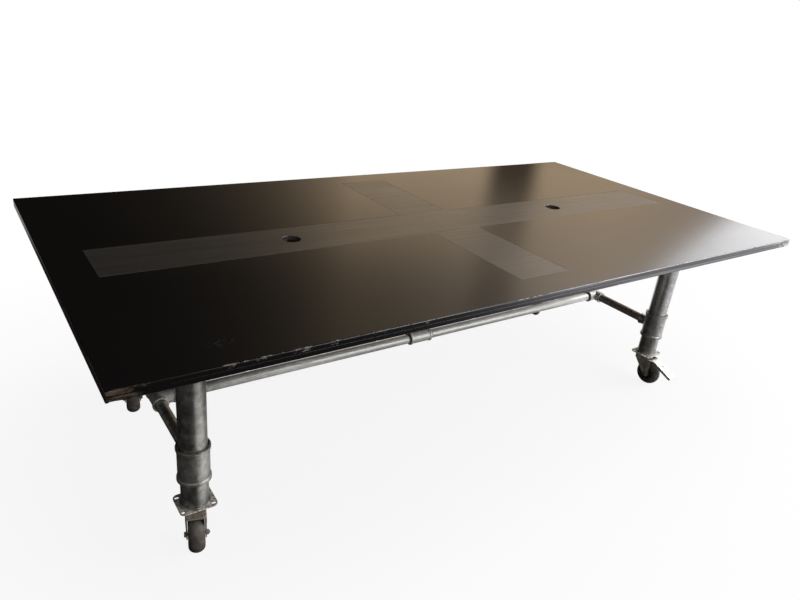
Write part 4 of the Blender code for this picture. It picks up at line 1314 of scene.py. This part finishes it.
def core_shape():
    """Wheel core: a long hub, a web with ribs and a rim under the tyre."""
    bore = AXLE / 2 + FORK_RUNNING
    rim = AXLE_HEIGHT - TYRE_DEPTH - GAP
    half = [
        (bore, HUB_WIDTH / 2),
        (HUB / 2 - HUB_DRAFT, HUB_WIDTH / 2),
        (HUB / 2, WEB / 2 + HUB_ROOT[1]),
        (HUB / 2 + HUB_ROOT[0], WEB / 2),
        (rim - RIM_DEPTH - HUB_DRAFT, WEB / 2),
        (rim - RIM_DEPTH, RIM_WIDTH / 2),
        (rim, RIM_WIDTH / 2),
    ]
    core = softened(spun(half + [(r, -h) for r, h in reversed(half)], CORE_STEPS), CORE_EASE)
    low = (HUB / 2 - RIB_ROOT, -RIB / 2, -RIM_WIDTH / 2 + RIB_INSET)
    high = (rim - RIM_DEPTH + RIB_ROOT, RIB / 2, RIM_WIDTH / 2 - RIB_INSET)
    ribs = []
    for index in range(RIB_COUNT):
        rib = softened(block(low, high), RIB_EASE, 1)
        ribs.append(moved(rib, Matrix.Rotation(math.tau * index / RIB_COUNT, 4, "Z")))
    return joined(core, *ribs)


def tyre_shape(width):
    """Tyre with an oval section."""
    outer = AXLE_HEIGHT
    inner = outer - TYRE_DEPTH
    half = [(inner, width / 2 - TYRE_SEAT)]
    for index in range(TYRE_ROUND_STEPS):
        turn = math.pi / 2 * index / TYRE_ROUND_STEPS
        half.append((outer - TYRE_ROUND + TYRE_ROUND * math.sin(turn), width / 2 * math.cos(turn)))
    return spun(half + [(outer, 0.0)] + [(r, -h) for r, h in reversed(half)], TYRE_STEPS)


def hex_shape(height):
    """A hexagon about the origin with its corners turned off at both ends."""
    radius = NUT / 2 / math.cos(math.pi / 6)
    half = height / 2
    end = [(0.0, half), (NUT / 2 * NUT_FACE, half), (radius, half - NUT_CHAMFER)]
    turned = spun(end + [(r, -h) for r, h in reversed(end)], NUT_STEPS, closed=False)
    return worked(rod(radius, -half, half, 6), turned, "INTERSECT")


def bolt_shapes():
    """Axle bolt with its head and washer, and its nut with a washer, along Z."""
    seat = FORK_GAP / 2 + FORK_WALL + GAP
    over = seat + WASHER_HEIGHT
    height = NUT_HEIGHT - WASHER_HEIGHT
    radius = NUT * WASHER / 2
    head = moved(hex_shape(height), (0.0, 0.0, -over - height / 2))
    head_washer = softened(rod(radius, -over, -seat, WASHER_STEPS), WASHER_EASE, 1)
    tail = seat + NUT_HEIGHT + AXLE_TAIL
    shank = softened(rod(AXLE / 2, -seat - NUT_HEIGHT / 2, tail, AXLE_STEPS), AXLE_EASE)
    nut = moved(hex_shape(height), (0.0, 0.0, over + height / 2))
    nut_washer = softened(rod(radius, seat, over, WASHER_STEPS), WASHER_EASE, 1)
    return joined(head, head_washer, shank), joined(nut, nut_washer)


def around_tyre(angle, clearance):
    """A point at a clearance from the tyre, seen from the pedal's pivot."""
    radius = WHEEL_RADIUS + clearance
    turn = math.radians(angle)
    return (TRAIL + radius * math.cos(turn) - PIVOT[0], AXLE_HEIGHT + radius * math.sin(turn) - PIVOT[1])


def between(start, end, share):
    return tuple(a + (b - a) * share for a, b in zip(start, end))


def beside(path, offset):
    """A path moved sideways, to its left where the offset is above zero."""
    result = []
    for i in range(len(path)):
        before = path[max(i - 1, 0)]
        after = path[min(i + 1, len(path) - 1)]
        along = (after[0] - before[0], after[1] - before[1])
        size = math.hypot(*along)
        result.append((path[i][0] - along[1] / size * offset, path[i][1] + along[0] / size * offset))
    return result


def rounded_path(points, radius, steps):
    """A path with its inner points rounded."""
    result = [Vector(points[0])]
    for before, point, after in zip(points, points[1:], points[2:]):
        corner = Vector(point)
        back = Vector(before) - corner
        onward = Vector(after) - corner
        reach = radius * math.tan((math.pi - back.angle(onward)) / 2)
        if reach < STRAIGHT:
            result.append(corner)
            continue
        start = corner + back.normalized() * reach
        end = corner + onward.normalized() * reach
        for index in range(steps + 1):
            share = index / steps
            result.append(start.lerp(corner, share).lerp(corner.lerp(end, share), share))
    return result + [Vector(points[-1])]


def pressed_strip(path, width, depth):
    """A sheet bent along a path, with both sides turned down between the path's ends."""
    surface = beside(path, PEDAL_SHEET / 2)
    half = width / 2 - PEDAL_FOLD
    bend = arc((half, -PEDAL_FOLD), PEDAL_FOLD, 0, 90, 5)
    right = [(width / 2, -1.0)] + bend
    section = right + [(-v, drop) for v, drop in reversed(right)]
    rows = len(surface) - 1
    columns = len(section) - 1
    shape = bmesh.new()
    bmesh.ops.create_grid(shape, x_segments=rows, y_segments=columns, size=1.0)
    for point in shape.verts:
        row = round((point.co.x + 1) / 2 * rows)
        v, drop = section[round((point.co.y + 1) / 2 * columns)]
        share = math.sin(math.pi * min(max(row / rows, PEDAL_SIDE_ENDS), 1 - PEDAL_SIDE_ENDS))
        drop = max(drop, -PEDAL_FOLD - (depth - PEDAL_FOLD) * min(PEDAL_SIDE_RISE * share, 1.0))
        along = Vector(path[min(row + 1, rows)]) - Vector(path[max(row - 1, 0)])
        along.normalize()
        u, z = surface[row]
        point.co = (u - along.y * drop, v, z + along.x * drop)
    bmesh.ops.recalc_face_normals(shape, faces=shape.faces)
    bmesh.ops.solidify(shape, geom=shape.faces[:], thickness=PEDAL_SHEET)
    return cleaned(shape)


def pedal_shape():
    """Brake pedal about its pivot: a pressed sheet with a slot, tread bars, a shoe and its pin."""
    crest = around_tyre(*PEDAL_CREST)
    knee = around_tyre(*PEDAL_KNEE)
    toe = around_tyre(*PEDAL_TOE)
    width = FORK_GAP - 2 * FORK_RUNNING
    half = PEDAL_SHEET / 2
    path = [tuple(point) for point in rounded_path([(0.0, 0.0), crest, knee, toe], PEDAL_BEND, 8)]
    body = pressed_strip(path, width, PEDAL_SIDE)
    slope = math.atan2(knee[1] - crest[1], knee[0] - crest[0])
    middle = between(crest, knee, PEDAL_SLOT_SHARE)
    slot = slot_outline((0.0, 0.0), PEDAL_SLOT[0], PEDAL_SLOT[1] - PEDAL_SLOT[0], 8)
    window = moved(
        sheet([slot], 4 * PEDAL_SHEET),
        (middle[0], 0.0, middle[1]),
        Matrix.Rotation(-slope, 4, "Y"),
        Matrix.Rotation(math.pi / 2, 4, "Z"),
        (0.0, 0.0, -2 * PEDAL_SHEET),
    )
    body = worked(body, window, "DIFFERENCE")
    pieces = [eased(body, PEDAL_EASE)]
    toe_slope = math.atan2(toe[1] - knee[1], toe[0] - knee[0])
    low = (-TREAD_BAR[0], -TREAD_BAR[1], half + TREAD_RISE[0])
    high = (TREAD_BAR[0], TREAD_BAR[1], half + TREAD_RISE[1])
    for share in TREAD_SHARES:
        place = between(knee, toe, share)
        bar = softened(block(low, high), TREAD_EASE)
        pieces.append(moved(bar, (place[0], 0.0, place[1]), Matrix.Rotation(-toe_slope, 4, "Y")))
    shoe_tip = around_tyre(SHOE_ANGLE, SHOE_GAP)
    shoe = beside([(half, 0.0), shoe_tip], 0.0) + beside([(half, 0.0), shoe_tip], PEDAL_SHEET)[::-1]
    shoe = eased(sheet([shoe], SHOE_WIDTH), PEDAL_EASE)
    pieces.append(moved(shoe, STAND, (0.0, 0.0, -SHOE_WIDTH / 2)))
    pin_half = FORK_GAP / 2 + FORK_SPLAY + FORK_WALL + PEDAL_PIN_TAIL
    pin = softened(rod(PEDAL_PIN / 2, -pin_half, pin_half, PEDAL_PIN_STEPS), AXLE_EASE)
    pieces.append(moved(pin, ALONG_Y))
    return joined(*pieces)


def add_plates(settings):
    finish = caster_finish(settings)
    for corner in CORNERS:
        swivel = PLACES["swivel_" + corner]
        plate = moved(plate_shape(), (swivel.x, swivel.y, 0.0))
        add_piece("plate_" + corner, plate, finish, "frame", "zinc_plate", "caster_plate_" + corner)
        fork = moved(fork_shape(corner in BRAKED), caster_place(corner))
        add_piece("fork_" + corner, fork, finish, "caster_" + corner, "zinc_plate", "caster_fork_" + corner)


def add_hardware(settings):
    finish = bright_finish(settings)
    axle = Matrix.Translation((TRAIL, 0.0, AXLE_HEIGHT))
    for corner in CORNERS:
        place = caster_place(corner)
        bolt, nut = bolt_shapes()
        pieces = [
            ("balls_", moved(bearing_shape(), place), "caster_", "swivel_balls_"),
            ("bolt_", moved(bolt, place, axle, ALONG_Y), "caster_", "axle_bolt_"),
            ("nut_", moved(nut, place, axle, ALONG_Y), "caster_", "axle_nut_"),
        ]
        if corner in BRAKED:
            pedal = moved(pedal_shape(), place, (PIVOT[0], 0.0, PIVOT[1]))
            pieces.append(("pedal_", pedal, "pedal_", "brake_pedal_"))
        for name, shape, body, node in pieces:
            add_piece(name + corner, shape, finish, body + corner, "bright_steel", node + corner)
        flange = "leg_flange_" + corner
        spot = middle_of(flange)
        screws = moved(screw_shapes(), (spot.x, spot.y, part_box(flange)[1].z - FLANGE_THICKNESS))
        add_piece("flange_screws_" + corner, screws, finish, "frame", "bright_steel")


def add_wheels(settings):
    rubber = rubber_finish(settings)
    core = core_finish(settings)
    axle = Matrix.Translation((TRAIL, 0.0, AXLE_HEIGHT))
    for corner in CORNERS:
        body = "wheel_" + corner
        place = caster_place(corner)
        shape = moved(core_shape(), place, axle, ALONG_Y)
        add_piece("core_" + corner, shape, core, body, "wheel_core", "wheel_core_" + corner)
        shape = moved(tyre_shape(settings.tyre_width), place, axle, ALONG_Y)
        add_piece("tyre_" + corner, shape, rubber, body, "grey_rubber", "wheel_tyre_" + corner)


# Stage


def add_light(name, place, target, size, power):
    """A soft light, which the surround shows in reflections."""
    lamp = bpy.data.lights.new(name, "AREA")
    lamp.shape = "RECTANGLE"
    lamp.size, lamp.size_y = size
    lamp.energy = power
    light = bpy.data.objects.new(name, lamp)
    light.location = place
    light.rotation_euler = (Vector(target) - Vector(place)).to_track_quat("-Z", "Y").to_euler()
    light.visible_camera = False
    light.visible_glossy = False
    bpy.context.scene.collection.objects.link(light)


def stage_object(name, shape, material):
    mesh = bpy.data.meshes.new(name)
    shape.to_mesh(mesh)
    shape.free()
    mesh.materials.append(material)
    made = bpy.data.objects.new(name, mesh)
    bpy.context.scene.collection.objects.link(made)
    return made


def add_floor(settings):
    """A pale floor, white to the camera away from the desk, which keeps the desk's shadow."""
    shape = bmesh.new()
    bmesh.ops.create_grid(shape, x_segments=1, y_segments=1, size=FLOOR_HALF)
    nodes = Finish("pale_floor")
    path = nodes.node("ShaderNodeLightPath", output="Is Camera Ray")
    seen = nodes.most(path, path.other("Is Glossy Ray"), path.other("Is Transmission Ray"))
    distance = nodes.maths("SQRT", nodes.x * nodes.x * 0.45 + nodes.y * nodes.y)
    far = nodes.step(distance, 0.6, 2.0)
    colour = nodes.mix(seen, shade(settings.floor, 0.45), tuple(settings.floor))
    paper = nodes.node("ShaderNodeBsdfDiffuse", inputs={"Color": colour})
    white = nodes.node("ShaderNodeEmission", inputs={"Color": (1.0, 1.0, 1.0), "Strength": 1.0})
    mixed = nodes.node("ShaderNodeMixShader", inputs={0: seen * (0.88 + far * 0.12), 1: paper, 2: white})
    nodes.tree.nodes.remove(nodes.shader)
    nodes.feed(nodes.tree.nodes["Material Output"].inputs["Surface"], mixed)
    stage_object("floor", shape, nodes.material)


def add_surround(settings):
    """Graded flags all round, seen only in reflections: a window at the right, dim walls at the left."""
    low = SURROUND_LIFT
    high = SURROUND_HEIGHT
    profile = [(0.0, low), (SURROUND_RADIUS, low), (SURROUND_RADIUS, high), (0.0, high)]
    shape = spun(profile, SURROUND_STEPS, closed=False)
    nodes = Finish("graded_surround")
    x, y, z = nodes.x, nodes.y, nodes.z
    turn = nodes.maths("ARCTAN2", y, x) * (180 / math.pi)
    turn = nodes.maths("FLOORED_MODULO", turn + 90.0, 360.0) - 90.0
    low_wall = nodes.mix(nodes.step(turn, 15.0, 30.0), WALL_BY_WINDOW, WALL)
    high_wall = nodes.mix(nodes.step(turn, 15.0, 65.0), CEILING_BY_WINDOW, CEILING)
    wall = nodes.mix(nodes.step(z, 1.35, 2.85), low_wall, high_wall)
    fade = nodes.maths("EXPONENT", nodes.most(turn - DARK_FROM, 0.0) * -DARKENING)
    wall = nodes.mix(nodes.most(fade, DARKEST), (0.0, 0.0, 0.0), wall)
    skirting = nodes.step(z, 1.2, 1.05) * nodes.step(turn, 78.0, 62.0)
    wall = nodes.mix(skirting * 0.95, wall, (0.08, 0.08, 0.078))
    shadow = nodes.step(z, 2.15, 2.65) * nodes.step(turn, 30.0, 42.0)
    wall = nodes.mix(shadow * 0.32, wall, (0.0, 0.0, 0.0))
    pillar = nodes.step(abs(turn - 41.4), 4.4, 1.6) * (0.46 + nodes.step(z, 2.0, 1.45) * 0.48)
    wall = nodes.mix(pillar, wall, (0.03, 0.022, 0.016))

    edge = turn - 16.6 - (z - 1.64) * 10.5
    window = nodes.step(edge, 0.9, -0.9) * nodes.step(turn, -82.0, -62.0)
    direct = nodes.step(turn, -16.0, -6.0) * nodes.step(z, 2.25, 2.05)
    pane = nodes.mix(direct, shade(settings.window_colour, 0.52), settings.window_colour)
    upper = nodes.step(turn, -8.0, -14.0) * nodes.step(z, 2.3, 2.7)
    pane = nodes.mix(upper, pane, shade(settings.window_colour, 2.6))
    wall = nodes.mix(window, wall, pane)
    left = nodes.step(turn, 150.0, 175.0) * nodes.step(turn, 262.0, 245.0)
    wall = nodes.mix(left, wall, (0.36, 0.35, 0.335))

    sunlit = nodes.step(x - y * 1.7, 3.5, 4.4)
    sunlit = nodes.most(sunlit, nodes.step(x, 0.95, 1.2) * nodes.step(y, -1.62, -1.45))
    sunlit = nodes.most(sunlit, nodes.step(x * 0.55 - y, 1.25, 1.75) * nodes.step(y, -1.55, -1.4))
    inside = nodes.step(x, -1.0, -0.8) * nodes.step(x, -0.12, -0.45) * nodes.step(y, -1.15, -0.95)
    inside = inside * (nodes.step(y, -0.28, -0.50) * 0.68 + nodes.step(y, 0.35, 0.05) * 0.32)
    ground = nodes.mix(inside, (0.012, 0.011, 0.010), (1.22, 1.21, 1.17))
    ground = nodes.mix(sunlit, ground, (1.40, 1.34, 1.42))
    reach = nodes.maths("SQRT", x * x + y * y)
    outer = nodes.step(reach, 2.4, 3.0) * nodes.step(turn, 100.0, 120.0)
    ground = nodes.mix(outer, ground, (0.38, 0.375, 0.36))
    roof = nodes.mix(nodes.step(x, 1.4, 3.6), (0.02, 0.018, 0.015), (1.0, 0.95, 0.88))

    colour = nodes.mix(nodes.step(z, 0.003, 0.02), ground, wall)
    colour = nodes.mix(nodes.step(z, high - 0.02, high - 0.003), colour, roof)
    glow = nodes.node("ShaderNodeEmission", inputs={"Color": colour, "Strength": settings.surround})
    nodes.tree.nodes.remove(nodes.shader)
    nodes.feed(nodes.tree.nodes["Material Output"].inputs["Surface"], glow)
    surround = stage_object("graded_surround", shape, nodes.material)
    surround.visible_camera = False
    surround.visible_diffuse = False
    surround.visible_shadow = False
    surround.visible_transmission = False


def add_world(settings):
    world = bpy.data.worlds.new("studio")
    world.use_nodes = True
    nodes = Nodes(world.node_tree)
    background = world.node_tree.nodes["Background"]
    path = nodes.node("ShaderNodeLightPath", output="Is Camera Ray")
    seen = nodes.most(path, path.other("Is Glossy Ray"), path.other("Is Transmission Ray"))
    nodes.feed(background.inputs["Color"], (1.0, 1.0, 1.0))
    nodes.feed(background.inputs["Strength"], settings.ambient + seen * (1 - settings.ambient))
    bpy.context.scene.world = world


def add_camera(settings):
    camera = bpy.data.cameras.new("camera")
    camera.lens = settings.lens
    camera.sensor_width = SENSOR
    camera.sensor_fit = "HORIZONTAL"
    camera.clip_end = 100.0
    view = bpy.data.objects.new("camera", camera)
    axes = Matrix((CAMERA_RIGHT, CAMERA_UP, CAMERA_BACK)).transposed()
    view.matrix_world = Matrix.Translation(CAMERA_PLACE) @ axes.to_4x4()
    bpy.context.scene.collection.objects.link(view)
    bpy.context.scene.camera = view


class PIPE_DESK_OT_boards(bpy.types.Operator):
    """Build the two black sheets with their worn edges"""

    bl_idname = "pipe_desk.boards"
    bl_label = "Boards"

    def execute(self, context):
        add_boards(context.scene.pipe_desk.board)
        return {"FINISHED"}


class PIPE_DESK_OT_strips(bpy.types.Operator):
    """Build the three timber strips"""

    bl_idname = "pipe_desk.strips"
    bl_label = "Timber strips"

    def execute(self, context):
        add_strips(context.scene.pipe_desk.board)
        return {"FINISHED"}


class PIPE_DESK_OT_pipe_frame(bpy.types.Operator):
    """Build the legs, tees, flanges, rails and coupling"""

    bl_idname = "pipe_desk.pipe_frame"
    bl_label = "Pipe frame"

    def execute(self, context):
        settings = context.scene.pipe_desk.pipe
        finishes = pipe_finishes(settings)
        add_legs(settings, finishes)
        add_rails(settings, finishes)
        return {"FINISHED"}


class PIPE_DESK_OT_forks(bpy.types.Operator):
    """Build the caster plates and forks"""

    bl_idname = "pipe_desk.forks"
    bl_label = "Plates and forks"

    def execute(self, context):
        add_plates(context.scene.pipe_desk.caster)
        return {"FINISHED"}


class PIPE_DESK_OT_wheels(bpy.types.Operator):
    """Build the wheels"""

    bl_idname = "pipe_desk.wheels"
    bl_label = "Wheels"

    def execute(self, context):
        add_wheels(context.scene.pipe_desk.caster)
        return {"FINISHED"}


class PIPE_DESK_OT_hardware(bpy.types.Operator):
    """Build the bearings, axles, pedals and screws"""

    bl_idname = "pipe_desk.hardware"
    bl_label = "Hardware"

    def execute(self, context):
        add_hardware(context.scene.pipe_desk.caster)
        return {"FINISHED"}


class PIPE_DESK_OT_stage(bpy.types.Operator):
    """Set up the floor, lights and camera"""

    bl_idname = "pipe_desk.stage"
    bl_label = "Stage"

    def execute(self, context):
        settings = context.scene.pipe_desk.stage
        context.scene.view_settings.view_transform = "Standard"
        add_world(settings)
        add_floor(settings)
        add_surround(settings)
        add_light("overhead", *OVERHEAD, settings.overhead)
        add_light("window", *WINDOW, settings.window)
        add_camera(settings)
        return {"FINISHED"}


OPERATORS = (
    PIPE_DESK_OT_boards,
    PIPE_DESK_OT_strips,
    PIPE_DESK_OT_pipe_frame,
    PIPE_DESK_OT_forks,
    PIPE_DESK_OT_wheels,
    PIPE_DESK_OT_hardware,
    PIPE_DESK_OT_stage,
)


class PIPE_DESK_PT_panel(bpy.types.Panel):
    """Lists the desk's operators."""

    bl_label = "Pipe-frame desk"
    bl_space_type = "VIEW_3D"
    bl_region_type = "UI"
    bl_category = "Desk"

    def draw(self, context):
        for operator in OPERATORS:
            self.layout.operator(operator.bl_idname)


CLASSES = (
    BoardSettings,
    PipeSettings,
    CasterSettings,
    StageSettings,
    DeskSettings,
    *OPERATORS,
    PIPE_DESK_PT_panel,
)


def register():
    for item in CLASSES:
        bpy.utils.register_class(item)
    bpy.types.Scene.pipe_desk = PointerProperty(type=DeskSettings)


def unregister():
    del bpy.types.Scene.pipe_desk
    for item in reversed(CLASSES):
        bpy.utils.unregister_class(item)


def main():
    register()
    bpy.ops.pipe_desk.boards()
    bpy.ops.pipe_desk.strips()
    bpy.ops.pipe_desk.pipe_frame()
    bpy.ops.pipe_desk.forks()
    bpy.ops.pipe_desk.wheels()
    bpy.ops.pipe_desk.hardware()
    bpy.ops.pipe_desk.stage()


if __name__ == "__main__":
    main()
